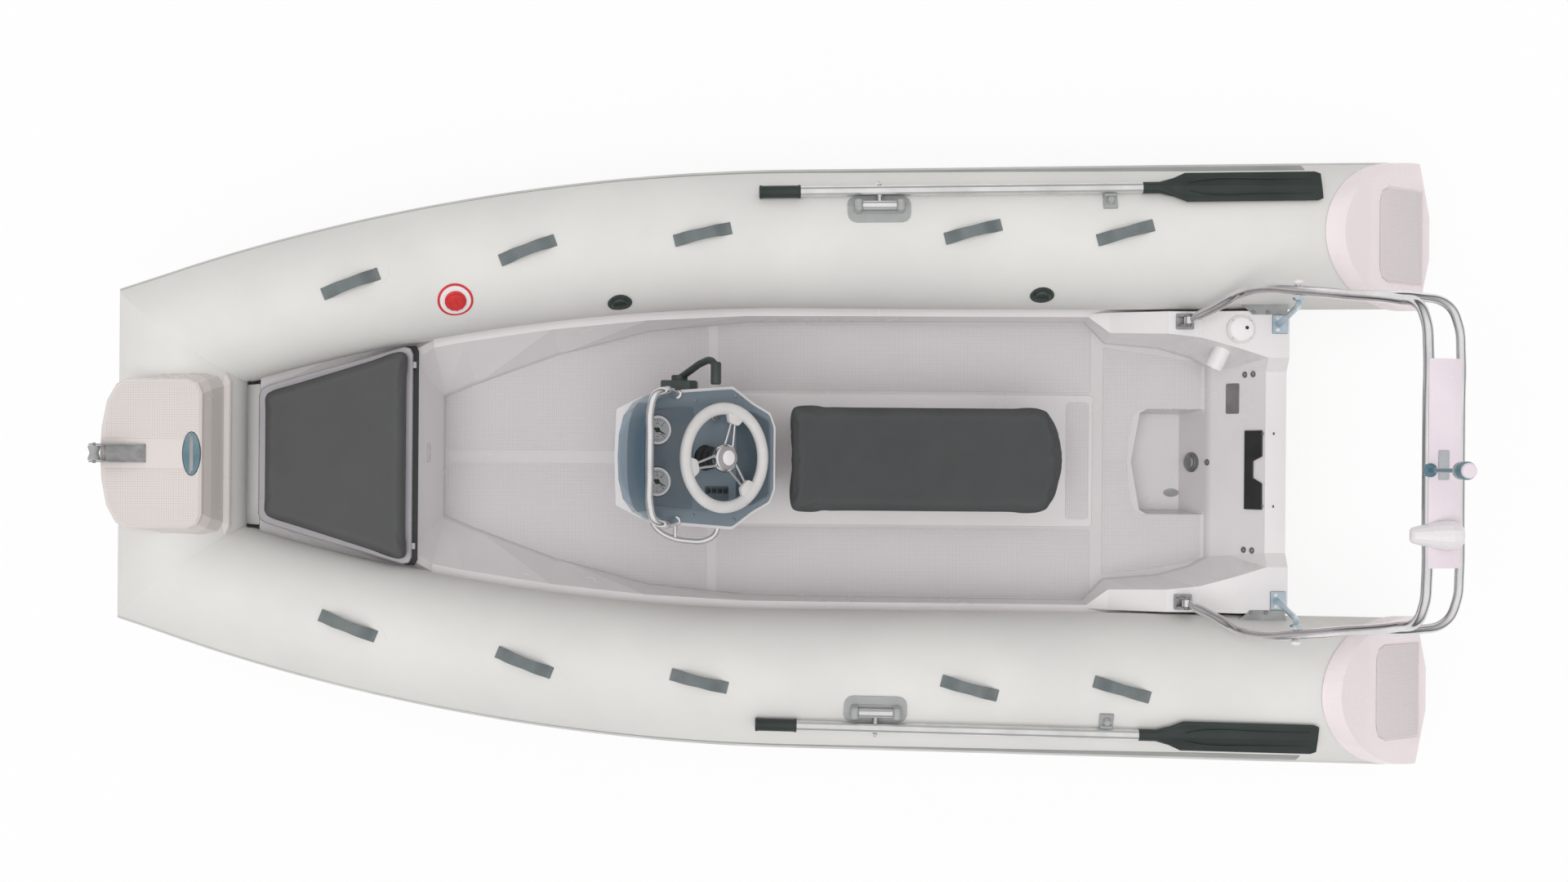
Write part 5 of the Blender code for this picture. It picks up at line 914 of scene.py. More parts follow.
# %% Caps
CAP_START, HOLLOW_START = 1.60, 1.50
CAP_LIP, CAP_WALL, CAP_SKIRT = 0.006, 0.0119, 0.040
CAP_PLAY, SKIRT_FREE = 0.0005, 0.05
CAP_ROUND = 0.0035
TREAD_FRONT, TREAD_LONG, TREAD_HALF, TREAD_CORNER = 1.940, 0.245, 0.160, 0.050
RECESS, TREAD_GAP, TREAD_THICK = 0.004, 0.006, 0.0026


def tread_place(side):
    """Front middle of the tread on the oblique plate: X down the slope, Z straight out."""
    high = KNEE_HEIGHT + (HALF_LENGTH - TREAD_FRONT) * SLOPE_RISE / SLOPE_RUN
    origin = Vector((TREAD_FRONT, tube_centre(TREAD_FRONT, side).y, high))
    return axes(origin, Vector((SLOPE_LOOK.z, 0, -SLOPE_LOOK.x)), Vector((0, 1, 0)),
                SLOPE_LOOK)


def tread_plan(inset):
    """A rectangle whose two front corners are cut off, smaller by an inset all round."""
    wide, long = TREAD_HALF - inset, TREAD_LONG - inset
    cut = TREAD_CORNER
    return both([(inset, 0.0), (inset, wide - cut), (0.3 * cut, wide - 0.3 * cut),
                 (cut, wide), (long, wide), (long, 0.0)])


for name, side in SIDES:
    cap = stern_solid(side, CAP_START, CAP_LIP, 0.0)
    cap = carve(cap, stern_solid(side, HOLLOW_START, CAP_PLAY, CAP_WALL))
    cap = carve(cap, stern_solid(side, HOLLOW_START, SKIRT_FREE, CAP_SKIRT))
    recess = at(plate(tread_plan(0.0), 0.03), tread_place(side) @ shifted(z=-RECESS))
    cap = carve(cap, recess)
    soften(CAP_ROUND, 2, 28.0)
    settle(f"cap_{name}", cap_gelcoat, replaces=f"end_cap_{name}")
    at(plate(tread_plan(TREAD_GAP), TREAD_THICK, lip=0.0008),
       tread_place(side) @ shifted(z=0.0002 - RECESS))
    settle(f"cap_tread_{name}", cap_tread)
print("caps closed")

# %% [markdown]
# ## Patches, handles and valves
# Every fitting on a tube is glued on with a patch. A patch is drawn flat as an oval sheet
# and then laid on the skin, bent round it like real cloth.

# %% Oval sheets
SHEET_SUNK = 0.0025


def oval_sheet(length, width, thick, steps=14, across=8):
    """A flat oval sheet of square mesh, so that it can bend."""
    piece = flat_grid(steps, across)
    for vertex in piece.data.vertices:
        x, y = vertex.co.x, vertex.co.y
        vertex.co = (x * math.sqrt(1 - y * y / 2) * length / 2,
                     y * math.sqrt(1 - x * x / 2) * width / 2, thick)
    apply("SOLIDIFY", thickness=thick + SHEET_SUNK, offset=-1.0)
    return piece


def lay(piece, x, angle, side, toe=0.0):
    """Bends a flat piece round the skin at a place."""
    spin = spun(side * toe)
    lean = tube_frame(x, side)[1].x
    for vertex in piece.data.vertices:
        spot = spin @ vertex.co
        place = x + spot.x * lean
        radius = tube_frame(place, side)[4]
        turn = angle - side * math.degrees(spot.y / radius)
        vertex.co = on_skin(place, turn, side, spot.z)
    piece.data.update()
    return piece


print("oval sheets bend")

# %% [markdown]
# The grab handle is a moulded strap of grey rubber. Its side view is an arch with flat
# feet. Ten of them sit on the tubes, all of one mould, each turned a little. The strap is a
# flat grid raised by a smooth step, so that its feet lie flat and its crown is level, and
# three small ribs at each end show where it is glued. It is shaped once and copied.

# %% Grab handles
STRAP_HALF, STRAP_WIDE, STRAP_HIGH, STRAP_THICK = 0.094, 0.040, 0.0345, 0.0062
STRAP_KNEE, STRAP_CROWN, STRAP_FOOT = 0.088, 0.030, 0.0055
RIB_ROWS, RIB_HALF, RIB_THICK = (0.068, 0.074, 0.080), 0.016, 0.0012
HANDLES = ((-1.396, 91.6, 8), (-0.845, 89.4, 13), (-0.282, 89.4, 10), (0.599, 89.6, 14),
           (1.092, 91.1, 15))


def strap_height(x):
    share = min(max((STRAP_KNEE - abs(x)) / (STRAP_KNEE - STRAP_CROWN), 0.0), 1.0)
    return STRAP_FOOT + (STRAP_HIGH - STRAP_FOOT) * share * share * (3 - 2 * share)


def oblong(start, end, half):
    """The corners of a rectangle from start to end along X, and half wide to each side."""
    return [(start, -half), (end, -half), (end, half), (start, half)]


def moulded_strap():
    """The strap with its feet on the XY plane. It narrows and rounds a little in between."""
    piece = flat_grid(36, 6)
    for vertex in piece.data.vertices:
        x, y = vertex.co.x * STRAP_HALF, vertex.co.y * STRAP_WIDE / 2
        waist = 1 - 0.10 * max(1 - abs(x) / 0.06, 0.0)
        sag = 0.0012 * (1 - (2 * y / STRAP_WIDE) ** 2)
        vertex.co = (x, y * waist, strap_height(x) + sag)
    apply("SOLIDIFY", thickness=STRAP_THICK, offset=-1.0)
    soften(0.0015, 2, 50.0)
    ribs = [piece]
    for end in (-1, 1):
        for row in RIB_ROWS:
            rib = plate(oblong(end * row - RIB_THICK, end * row + RIB_THICK, RIB_HALF),
                        0.0016, lip=0.0005)
            ribs.append(at(rib, shifted(z=strap_height(row) - 0.0002)))
    return merged(ribs)


strap = moulded_strap()
for name, side in SIDES:
    for number, (x, angle, toe) in enumerate(HANDLES, 1):
        for sheet, size in (("patch", (0.250, 0.090, 0.0016)), ("pad", (0.205, 0.064, 0.0026))):
            lay(oval_sheet(*size), x, angle, side, toe)
            settle(f"handle_{sheet}_{name}_{number}", tube_fabric)
        at(twin(strap), skin_place(x, angle, side, toe))
        settle(f"handle_{name}_{number}", strap_rubber,
               replaces=f"grab_handle_{name}_{number}")
bpy.data.objects.remove(strap)
print(2 * len(HANDLES), "handles")

# %% [markdown]
# Knobs, bolts and valves are turned on a lathe. The profile is a list of radius and height:
# a ring is drawn at the first point, extruded and scaled to each next one, and closed at
# both ends, so the solid has no seam and no pole.

# %% Turned shapes


def turned(profile, sides=24):
    """A turned solid: a ring is extruded and scaled from point to point, then closed."""
    deselect()
    radius, height = profile[0]
    bpy.ops.mesh.primitive_circle_add(vertices=sides, radius=radius)
    bpy.ops.object.mode_set(mode="EDIT")
    bpy.ops.mesh.select_all(action="SELECT")
    bpy.ops.transform.translate(value=(0, 0, height))
    for wide, high in profile[1:]:
        bpy.ops.mesh.extrude_region_move(
            TRANSFORM_OT_translate={"value": (0, 0, high - height)})
        scale = wide / radius
        bpy.ops.transform.resize(value=(scale, scale, 1), center_override=(0, 0, 0))
        radius, height = wide, high
    bpy.ops.mesh.edge_face_add()
    bpy.ops.mesh.select_all(action="DESELECT")
    bpy.ops.mesh.select_non_manifold()
    bpy.ops.mesh.edge_face_add()
    bpy.ops.object.mode_set(mode="OBJECT")
    return outward()


print("lathe ready")

# %% [markdown]
# The relief valve opens by itself when the sun heats the tube. Its red body with a notched
# rim sits in a white patch with a red ring round it. Ring and patch are two oval sheets, one
# over the other, so the ring needs no colour pattern. The body is turned like a knob, and
# its notches and the cross in the middle are small plates set round it.

# %% Relief valve
VALVE_X, VALVE_ANGLE, VALVE_SUNK = -1.095, 123.6, 0.001
RING_WIDE, PATCH_WIDE = 0.116, 0.100
NOTCHES = 12
lay(oval_sheet(RING_WIDE, RING_WIDE, 0.0018), VALVE_X, VALVE_ANGLE, 1)
settle("valve_ring", red_plastic, replaces="relief_valve")
lay(oval_sheet(PATCH_WIDE, PATCH_WIDE, 0.0026), VALVE_X, VALVE_ANGLE, 1)
settle("valve_patch", white_gelcoat)
valve = turned([(0.034, 0.0), (0.034, 0.006), (0.031, 0.0085), (0.027, 0.0085),
                (0.026, 0.0125), (0.021, 0.0135), (0.019, 0.0105), (0.008, 0.0100)], 36)
bars = [valve]
for count in range(NOTCHES):
    notch = plate([(0.0285, -0.0025), (0.0345, -0.0018), (0.0345, 0.0018),
                   (0.0285, 0.0025)], 0.003, lip=0.0006)
    bars.append(at(notch, spun(count * 360 / NOTCHES) @ shifted(z=0.0068)))
for degrees in (20, 110):
    bar = plate(oblong(-0.020, 0.020, 0.0022), 0.0022, lip=0.0006)
    bars.append(at(bar, spun(degrees) @ shifted(z=0.0108)))
at(merged(bars), skin_place(VALVE_X, VALVE_ANGLE, 1) @ shifted(z=VALVE_SUNK))
settle("valve_body", red_plastic)
print("valve on the starboard tube")

# %% [markdown]
# ## Anti-slip fields
# The floor is divided into fields with smooth borders between them. Each field is a thin
# plate cut to its outline with rounded corners, and its tread finish carries the grid.
# The two sides mirror each other, so only the starboard outlines are written down. The
# bench stands on a low plinth, which has a field of its own behind the seat.

# %% Floor fields
FLOOR = 0.3002
FIELD_THICK = 0.0012
FORWARD_FIELD = [(-1.150, 0.022), (-0.262, 0.022), (-0.262, 0.452), (-0.450, 0.437),
                 (-0.575, 0.417), (-0.684, 0.392), (-0.801, 0.361), (-0.915, 0.326),
                 (-1.007, 0.288), (-1.137, 0.233), (-1.150, 0.214)]
SIDE_FIELD = [(-0.229, 0.233), (1.046, 0.233), (1.046, 0.466), (-0.229, 0.458)]
STERN_FIELD = both([(1.171, 0.0), (1.178, 0.090), (1.192, 0.160), (1.222, 0.182),
                    (1.423, 0.182), (1.423, 0.336), (1.250, 0.366), (1.088, 0.388)])
PLINTH = oblong(-0.240, 1.052, 0.224)
PLINTH_FIELD = oblong(0.962, 1.040, 0.200)
PLINTH_HIGH = 0.005


def mirror_plan(plan):
    """The port outline of a starboard one, with its corners still in the same sense."""
    return [(x, -y) for x, y in reversed(plan)]


at(plate(PLINTH, PLINTH_HIGH, 0.012, 0.002), shifted(z=FLOOR))
settle("plinth", gelcoat)
for name, plan, height in (("forward_starboard", FORWARD_FIELD, 0.0),
                           ("forward_port", mirror_plan(FORWARD_FIELD), 0.0),
                           ("side_starboard", SIDE_FIELD, 0.0),
                           ("side_port", mirror_plan(SIDE_FIELD), 0.0),
                           ("plinth", PLINTH_FIELD, PLINTH_HIGH)):
    at(plate(plan, FIELD_THICK, 0.014, 0.0005), shifted(z=FLOOR + height))
    settle(f"field_{name}", floor_tread)
stern_plan = [(x, y) for x, y in STERN_FIELD if y >= 0] + [(1.088, 0.0)]
for name, plan in (("starboard", stern_plan), ("port", mirror_plan(stern_plan))):
    at(plate(plan, FIELD_THICK, 0.0, 0.0005), shifted(z=FLOOR))
    settle(f"field_stern_{name}", floor_tread)
print("floor fields laid")

# %% [markdown]
# The bow step has a field on each side of the smooth strip for the anchor line. A well is
# cut out of both for the oval plate of the cleat: it is a turned disc, stretched to an oval.

# %% Bow step fields
STEP_TOP = 0.972
WELL_LONG, WELL_WIDE = 0.066, 0.148
STEP_FIELD = [(-2.113, 0.047), (-1.818, 0.047), (-1.818, 0.190), (-1.829, 0.214),
              (-1.858, 0.226), (-2.040, 0.226), (-2.070, 0.206), (-2.096, 0.160),
              (-2.109, 0.082)]
CLEAT_X = -1.842
for name, plan in (("starboard", STEP_FIELD), ("port", mirror_plan(STEP_FIELD))):
    field = at(plate(plan, FIELD_THICK, 0.006, 0.0005), shifted(z=STEP_TOP + 0.0001))
    well = turned([(0.5, -0.01), (0.5, 0.01)], 48)
    at(well, shifted(CLEAT_X, 0, STEP_TOP) @ Matrix.Diagonal((WELL_LONG, WELL_WIDE, 1, 1)))
    carve(field, well)
    settle(f"step_field_{name}", step_tread)
print("step fields laid")

# %% [markdown]
# ## The console
# The dash is a flat moulding on the sloping top of the console. A shallow recess holds the
# two gauges, and a shallow tray lies at its aft edge; a dark plate on the tray's floor paints
# the shade of a deep tray. It is shaped flat, where its outline and its recesses are easy to
# draw, and then laid on the slope.

# %% Dash moulding
DASH_EDGE = Vector((-0.445, 0.0, 0.935))
DASH = axes(DASH_EDGE, (0.9109, 0, -0.4127), (0, 1, 0), (0.4127, 0, 0.9109))
DASH_THICK, DASH_TOP = 0.0058, 0.0062
DASH_HALF = [(0.0044, 0.184), (0.0291, 0.1955), (0.3057, 0.2185), (0.3749, 0.170),
             (0.4336, 0.1385), (0.4485, 0.098)]
GAUGE_FIELD = both([(0.010, 0.147), (0.171, 0.162)])
TRAY = both([(0.318, 0.150), (0.372, 0.150), (0.437, 0.120)])
panel = plate(both(DASH_HALF), DASH_THICK, 0.008, segments=3)
for field, floor_height in ((GAUGE_FIELD, 0.0030), (TRAY, 0.0018)):
    cutter = at(plate(field, 0.02, 0.014), shifted(z=floor_height))
    carve(panel, cutter)
soften(0.0012, 2, 50.0)
at(panel, DASH @ shifted(z=DASH_TOP - DASH_THICK))
settle("dash_moulding", dash_plastic, replaces="dash_panel")
# The tray plate is a dark sheet that paints the shade of a deep tray. The field plate gives the
# gauge field its darker tint.
for name, plan, low, colour in (
        ("dash_tray", [(0.321, 0.147), (0.371, 0.147), (0.434, 0.118)], 0.0022, dash_tray),
        ("dash_field", [(0.0125, 0.1445), (0.1685, 0.1590)], 0.0034, dash_field)):
    at(plate(both(plan), 0.0008, 0.012), DASH @ shifted(z=low))
    settle(name, colour)
print("dash laid on the console")

# %% [markdown]
# Two round gauges with a white ring, a grey dial, a scale and a needle. Every part is turned
# or cut flat at the middle of its gauge. The numbers run from 0 to 6 and say nothing about
# the maker: any such dial has them. They are text made into a mesh, because only a mesh
# can be carried to its place.

# %% Gauges
GAUGE_PLACES = ((0.049, -0.076), (0.049, 0.086))
SCALE_START, SCALE_STEP, MARKS = -135, 15, 19
NEEDLE_TURN = -28


def ring(radius, thickness, around, across):
    """A round ring, flat on the XY plane."""
    deselect()
    bpy.ops.mesh.primitive_torus_add(major_radius=radius, minor_radius=thickness,
                                     major_segments=around, minor_segments=across)
    return bpy.context.object


def lettering(word, height):
    """A small flat word or number, raised a little."""
    deselect()
    bpy.ops.object.text_add()
    letters = bpy.context.object
    letters.data.body = word
    letters.data.size = height
    letters.data.align_x = "CENTER"
    letters.data.align_y = "CENTER"
    letters.data.extrude = 0.0002
    letters.data.resolution_u = 2
    bpy.ops.object.convert(target="MESH")
    return bpy.context.object


for number, (u, y) in enumerate(GAUGE_PLACES, 1):
    place = DASH @ shifted(u, y, 0.0038)
    at(turned([(0.0480, 0.0), (0.0480, 0.0015)], 48), place)
    settle(f"gauge_{number}_seat", black_plastic)
    at(ring(0.0415, 0.0042, 56, 12), place @ shifted(z=0.0048))
    settle(f"gauge_{number}_ring", white_gelcoat)
    at(turned([(0.0380, 0.0), (0.0380, 0.0044)], 48), place)
    settle(f"gauge_{number}_dial", dial_plastic)
    marks = []
    for step in range(MARKS):
        degrees = SCALE_START + SCALE_STEP * step
        numbered = step % 3 == 0
        mark = plate(oblong(-0.008 if numbered else -0.004, 0.0, 0.001), 0.0004)
        marks.append(at(mark, place @ spun(180 - degrees) @ shifted(0.0345, 0, 0.0044)))
        if numbered:
            # The second turn sets the number upright for someone who stands at the wheel.
            marks.append(at(lettering(str(step // 3), 0.0125),
                            place @ spun(180 - degrees) @ shifted(0.0205, 0, 0.0046)
                            @ spun(degrees - 90)))
    needle = plate([(-0.012, -0.0034), (0.030, -0.0010), (0.030, 0.0010), (-0.012, 0.0034)],
                   0.0008)
    at(needle, place @ spun(NEEDLE_TURN) @ shifted(z=0.0056))
    hub = at(turned([(0.008, 0.0044), (0.008, 0.0064), (0.006, 0.0076)], 20), place)
    merged(marks + [needle, hub])
    settle(f"gauge_{number}_scale", black_plastic)
print("two gauges")

# %% [markdown]
# Beside the wheel sit a block of four switches and a knob, and six screws hold the dash.
# Pieces of one kind are merged into one object, which keeps the list of pieces short.

# %% Switches and screws
SWITCHES, SWITCH_START, SWITCH_STEP, SWITCH_Y = 4, 0.222, 0.0195, -0.104
block = plate([(0.211, -0.142), (0.292, -0.142), (0.292, -0.090), (0.211, -0.090)],
              0.003, 0.004, 0.0008)
at(block, DASH @ shifted(z=DASH_TOP))
settle("switch_plate", dash_tray)
rockers = []
for count in range(SWITCHES):
    u = SWITCH_START + SWITCH_STEP * count
    rocker = plate(oblong(-0.007, 0.007, 0.009), 0.005, 0.002, 0.001)
    rockers.append(at(rocker, DASH @ shifted(u, SWITCH_Y, 0.0088)))
    lever = turned([(0.0026, 0.0), (0.0032, 0.013), (0.0022, 0.015)], 12)
    rockers.append(at(lever, DASH @ shifted(u, SWITCH_Y, 0.0132)))
merged(rockers)
settle("switch_levers", black_plastic)
at(turned([(0.014, 0.0), (0.014, 0.003), (0.010, 0.005), (0.010, 0.014), (0.008, 0.0155)],
          24), DASH @ shifted(0.247, 0.129, DASH_TOP))
settle("dash_knob", zinc)
screws = [at(turned([(0.0050, 0.0), (0.0050, 0.0012), (0.0030, 0.0024)], 14),
             DASH @ shifted(u, y, DASH_TOP))
          for u, y in ((0.178, 0.181), (0.316, 0.198), (0.172, -0.181), (0.313, -0.196),
                       (0.014, 0.176), (0.014, -0.176))]
merged(screws)
settle("dash_screws", dull_steel)
print("switch plate, knob and", len(screws), "screws")

# %% [markdown]
# The upper half of the windscreen is tinted darker. The shade is a thin sheet on the same
# curve as the screen, a millimetre in front of it. The screen leans from a foot line to a
# head line, both given by a few points, and a smooth curve through them gives the rest.

# %% Windscreen shade
SCREEN_FOOT = ((-0.520, 0.0), (-0.517, 0.070), (-0.503, 0.130), (-0.472, 0.172),
               (-0.425, 0.197), (-0.385, 0.2035))
SCREEN_HEAD = ((-0.418, 0.0), (-0.417, 0.068), (-0.413, 0.120), (-0.406, 0.156),
               (-0.393, 0.180), (-0.372, 0.192))
SCREEN_TOP = 1.140
DASH_FALL = 0.453
CORNER_DROP, CORNER_FROM, CORNER_WIDE = 0.055, 0.150, 0.042
SCREEN_SWELL = 0.010
SHADE_SHARE, SHADE_LOW, SHADE_RISE, SHADE_OFF = 0.62, 0.47, 0.50, 0.0014


def along_plan(plan, share):
    """A point of a plan line by its share of the points, smooth between them."""
    spot = abs(share) * (len(plan) - 1)
    first = min(int(spot), len(plan) - 2)
    part = spot - first
    before = plan[max(first - 1, 0)] if first else (plan[1][0], -plan[1][1])
    one, two = plan[first], plan[first + 1]
    after = plan[min(first + 2, len(plan) - 1)]
    point = [0.5 * (2 * q + (r - p) * part + (2 * p - 5 * q + 4 * r - s) * part ** 2
                    + (3 * q - p - 3 * r + s) * part ** 3)
             for p, q, r, s in zip(before, one, two, after)]
    return point[0], point[1] * (1 if share >= 0 else -1)


def screen_point(share, up):
    """A point of the screen's outer face by its share round and up."""
    x0, y0 = along_plan(SCREEN_FOOT, share)
    x1, y1 = along_plan(SCREEN_HEAD, share)
    foot = DASH_EDGE.z - DASH_FALL * max(x0 - DASH_EDGE.x, 0.0) + 0.0006
    fall = CORNER_DROP * max((abs(y1) - CORNER_FROM) / CORNER_WIDE, 0.0) ** 2
    swell = SCREEN_SWELL * math.sin(math.pi * up)
    return Vector((x0 + (x1 - x0) * up - swell, (y0 + (y1 - y0) * up) * (1 + swell),
                   foot + (SCREEN_TOP - fall - foot) * up))


shade = flat_grid(40, 16)
for vertex in shade.data.vertices:
    share, rise = vertex.co.x * SHADE_SHARE, (vertex.co.y + 1) / 2
    spot = screen_point(share, SHADE_LOW + SHADE_RISE * rise)
    out = Vector((-1.0, spot.y * 2.2, 0.55)).normalized()
    vertex.co = spot + out * SHADE_OFF
outward()
apply("SOLIDIFY", thickness=0.0008, offset=0.0)
settle("windscreen_shade", screen_shade)
print("shade over the screen")

# %% [markdown]
# Rails, hoops and levers are bent bars: a Bezier curve through a few points, with smooth
# handles and a round bevel. Made into a mesh, its end caps are loose, so its points are
# welded before the faces are turned outward.

# %% Bent bars
BAR_WELD = 0.00002


def bent_bar(points, radius, sides=5):
    """A round bar along a smooth curve through points."""
    deselect()
    bpy.ops.curve.primitive_bezier_curve_add()
    curve = bpy.context.object.data
    curve.splines[0].bezier_points.add(len(points) - 2)
    for knot, point in zip(curve.splines[0].bezier_points, points):
        knot.co = point
        knot.handle_left_type = knot.handle_right_type = "AUTO"
    curve.bevel_depth = radius
    curve.bevel_resolution = sides
    curve.resolution_u = 10
    curve.use_fill_caps = True
    bpy.ops.object.convert(target="MESH")
    welded(BAR_WELD)
    return outward()


def across_boat(half):
    """A run of points from starboard to port, from its starboard half."""
    return list(half) + [(x, -y, z) for x, y, z in reversed(half)]


print("bars can be bent")

# %% [markdown]
# Two bent polished rails: one frames the top of the windscreen, and one guards the side of
# the console away from the throttle. Each is one bar along a smooth curve through a few
# points, as a bender would set them out, and the first has flanges where it meets the dash.

# %% Console rails
SCREEN_RAIL = ((-0.338, 0.199, 0.8635), (-0.343, 0.202, 0.950), (-0.350, 0.204, 1.080),
               (-0.362, 0.203, 1.130), (-0.390, 0.190, 1.157), (-0.403, 0.150, 1.161),
               (-0.405, 0.060, 1.162))
FLANGE_HEIGHT, GUARD_HEIGHT = 0.884, 0.800
rail = [bent_bar(across_boat(SCREEN_RAIL), 0.0125, 6)]
for name, side in SIDES:
    foot = turned([(0.0165, 0.0), (0.0165, 0.004), (0.0135, 0.010)], 24)
    rail.append(at(foot, shifted(SCREEN_RAIL[0][0], side * SCREEN_RAIL[0][1], FLANGE_HEIGHT)))
merged(rail)
settle("screen_rail", stainless, replaces="windscreen_rail")
SIDE_RAIL = ((-0.425, -0.185), (-0.408, -0.222), (-0.365, -0.252), (-0.300, -0.266),
             (-0.245, -0.262), (-0.215, -0.238), (-0.210, -0.205))
guard = bent_bar([(x, y, GUARD_HEIGHT) for x, y in SIDE_RAIL], 0.009)
stay = bent_bar([(-0.345, y, GUARD_HEIGHT) for y in (-0.257, -0.195)], 0.007)
merged([guard, stay])
settle("side_rail", stainless, replaces="console_side_rail")
print("two rails")

# %% [markdown]
# The steering wheel has a pale padded rim with three grip pads, three pairs of thin steel
# spokes and a small hub. It is shaped flat and then tipped to its column. All of it rides on
# the wheel's own body, so that it turns with the joint.

# %% Steering wheel
WHEEL = axes((-0.186, 0.0, 0.91997), (0.76604, 0, -0.64279), (0, 1, 0),
             (0.64279, 0, 0.76604))
RIM_RADIUS, RIM_THICK, RIM_FLAT = 0.1545, 0.0190, 0.87
SPOKE_TURNS = (73, 193, 313)
rim = [at(ring(RIM_RADIUS, RIM_THICK, 72, 18), WHEEL @ Matrix.Diagonal((1, 1, RIM_FLAT, 1)))]
for degrees in SPOKE_TURNS:
    pad = plate([(-0.026, -0.019), (0.018, -0.042), (0.018, 0.042), (-0.026, 0.019)],
                0.018, 0.008, 0.005)
    rim.append(at(pad, WHEEL @ spun(degrees) @ shifted(0.136, 0, -0.009)))
merged(rim)
settle("wheel_rim", wheel_plastic, "steering_wheel",
       replaces="steering_wheel")
spokes = []
for degrees in SPOKE_TURNS:
    for y in (-1, 1):
        bar = bent_bar([(0.024, y * 0.018, 0.006), (0.070, y * 0.0125, 0.003),
                        (0.122, y * 0.007, -0.003)], 0.0042, 4)
        spokes.append(at(bar, WHEEL @ spun(degrees)))
boss = turned([(0.034, -0.014), (0.045, -0.006), (0.046, 0.004), (0.042, 0.012),
               (0.036, 0.015)], 40)
spokes.append(at(boss, WHEEL))
merged(spokes)
settle("wheel_spokes", stainless, "steering_wheel")
at(turned([(0.0365, 0.012), (0.0365, 0.017), (0.032, 0.020), (0.024, 0.0205)], 36), WHEEL)
settle("wheel_hub_ring", hub_plastic, "steering_wheel")
at(turned([(0.0235, 0.019), (0.0235, 0.0215), (0.019, 0.023)], 32), WHEEL)
settle("wheel_hub_cap", white_gelcoat, "steering_wheel")
print("steering wheel")

# %% [markdown]
# The throttle lever is a thick bent arm with a long grip across its end. It turns on a
# round boss at the side of its box.

# %% Throttle lever


def sideways(origin, look=1):
    """A place whose Z looks to starboard, or to port with -1."""
    return axes(origin, (1, 0, 0), (0, 0, -look), (0, look, 0))


PIVOT = Vector((-0.335, 0.245, 0.800))
GRIP_MIDDLE = PIVOT + Vector((0.120, 0, 0.135))
boss = at(turned([(0.026, 0.0005), (0.026, 0.015), (0.023, 0.018)], 28), sideways(PIVOT))
arm = [Vector(p) + PIVOT for p in ((0.004, 0.010, 0.004), (0.035, 0.030, 0.040),
                                   (0.078, 0.055, 0.090), (0.106, 0.058, 0.124),
                                   (0.120, 0.040, 0.135))]
grip = at(turned([(0.0130, -0.016), (0.0165, -0.012), (0.0165, 0.050), (0.0130, 0.055)], 28),
          sideways(GRIP_MIDDLE))
merged([boss, bent_bar(arm, 0.0115, 6), grip])
settle("throttle_handle", dark_plastic, "throttle_lever",
       replaces="throttle_lever")
print("throttle lever")

# %% [markdown]
# ## The arch
# Two hoops of polished tube, each bent in one smooth curve and mirrored. The forward one
# stands on hinged feet, where its eyes turn on a pin. The points of a leg run from the foot
# up to the crossbar, and the rear hoop is thinner and meets the other half-way up its leg.

# %% Arch hoops
LEG = ((1.350, 0.477, 0.624), (1.395, 0.500, 0.665), (1.462, 0.541, 0.738),
       (1.515, 0.552, 0.825), (1.595, 0.536, 0.966), (1.700, 0.507, 1.173),
       (1.800, 0.478, 1.370), (1.832, 0.462, 1.430), (1.847, 0.410, 1.463),
       (1.852, 0.340, 1.470), (1.852, 0.160, 1.470))
REAR_LEG = ((1.672, 0.515, 1.118), (1.750, 0.503, 1.222), (1.862, 0.488, 1.352),
            (1.925, 0.460, 1.412), (1.950, 0.400, 1.432), (1.957, 0.320, 1.435),
            (1.957, 0.150, 1.435))
HINGE_X, HINGE_Y, HINGE_Z = 1.324, 0.464, 0.600
hoops = [bent_bar(across_boat(leg), radius, 8)
         for leg, radius in ((LEG, 0.016), (REAR_LEG, 0.014))]
for name, side in SIDES:
    eye = turned([(0.0150, -0.0115), (0.0150, 0.0115)], 28)
    hoops.append(at(eye, sideways((HINGE_X, side * HINGE_Y, HINGE_Z))))
    hoops.append(bent_bar([(1.327, side * 0.4655, 0.603), (1.350, side * 0.477, 0.624)],
                          0.0105))
merged(hoops)
settle("arch_hoops", stainless, "arch", replaces="arch_hoop")
print("arch hoops", len(bpy.context.object.data.polygons), "faces")

# %% [markdown]
# A foot is a base plate with two upright cheeks and a pin between them, whose heads show on
# the outside. The cheeks stand clear of the eye, so the arch can fold forward.

# %% Feet of the arch
CHEEK_ASIDE, CHEEK_THICK, PIN_ASIDE = 0.0146, 0.0035, 0.0162
CHEEK = [(-0.024, 0.0), (0.024, 0.0), (0.0155, 0.066), (0.011, 0.081), (0.0, 0.086),
         (-0.011, 0.081), (-0.0155, 0.066)]
for name, side in SIDES:
    middle = side * HINGE_Y
    shapes = [at(plate(oblong(-0.030, 0.030, 0.026), 0.005, 0.005, 0.001),
                 shifted(HINGE_X, middle, 0.5303))]
    for end in (-1, 1):
        cheek = plate(CHEEK, CHEEK_THICK, 0.0, 0.0006)
        outer = middle + end * CHEEK_ASIDE + CHEEK_THICK / 2
        shapes.append(at(cheek, axes((HINGE_X, outer, 0.532), (1, 0, 0), (0, 0, 1),
                                     (0, -1, 0))))
    for end in (-1, 1):
        head = turned([(0.009, 0.0), (0.009, 0.004), (0.006, 0.006)], 18)
        shapes.append(at(head, sideways((HINGE_X, middle + end * PIN_ASIDE, HINGE_Z), end)))
    merged(shapes)
    settle(f"arch_bracket_{name}", dull_steel,
           replaces=f"arch_foot_{name}")
print("feet of the arch")

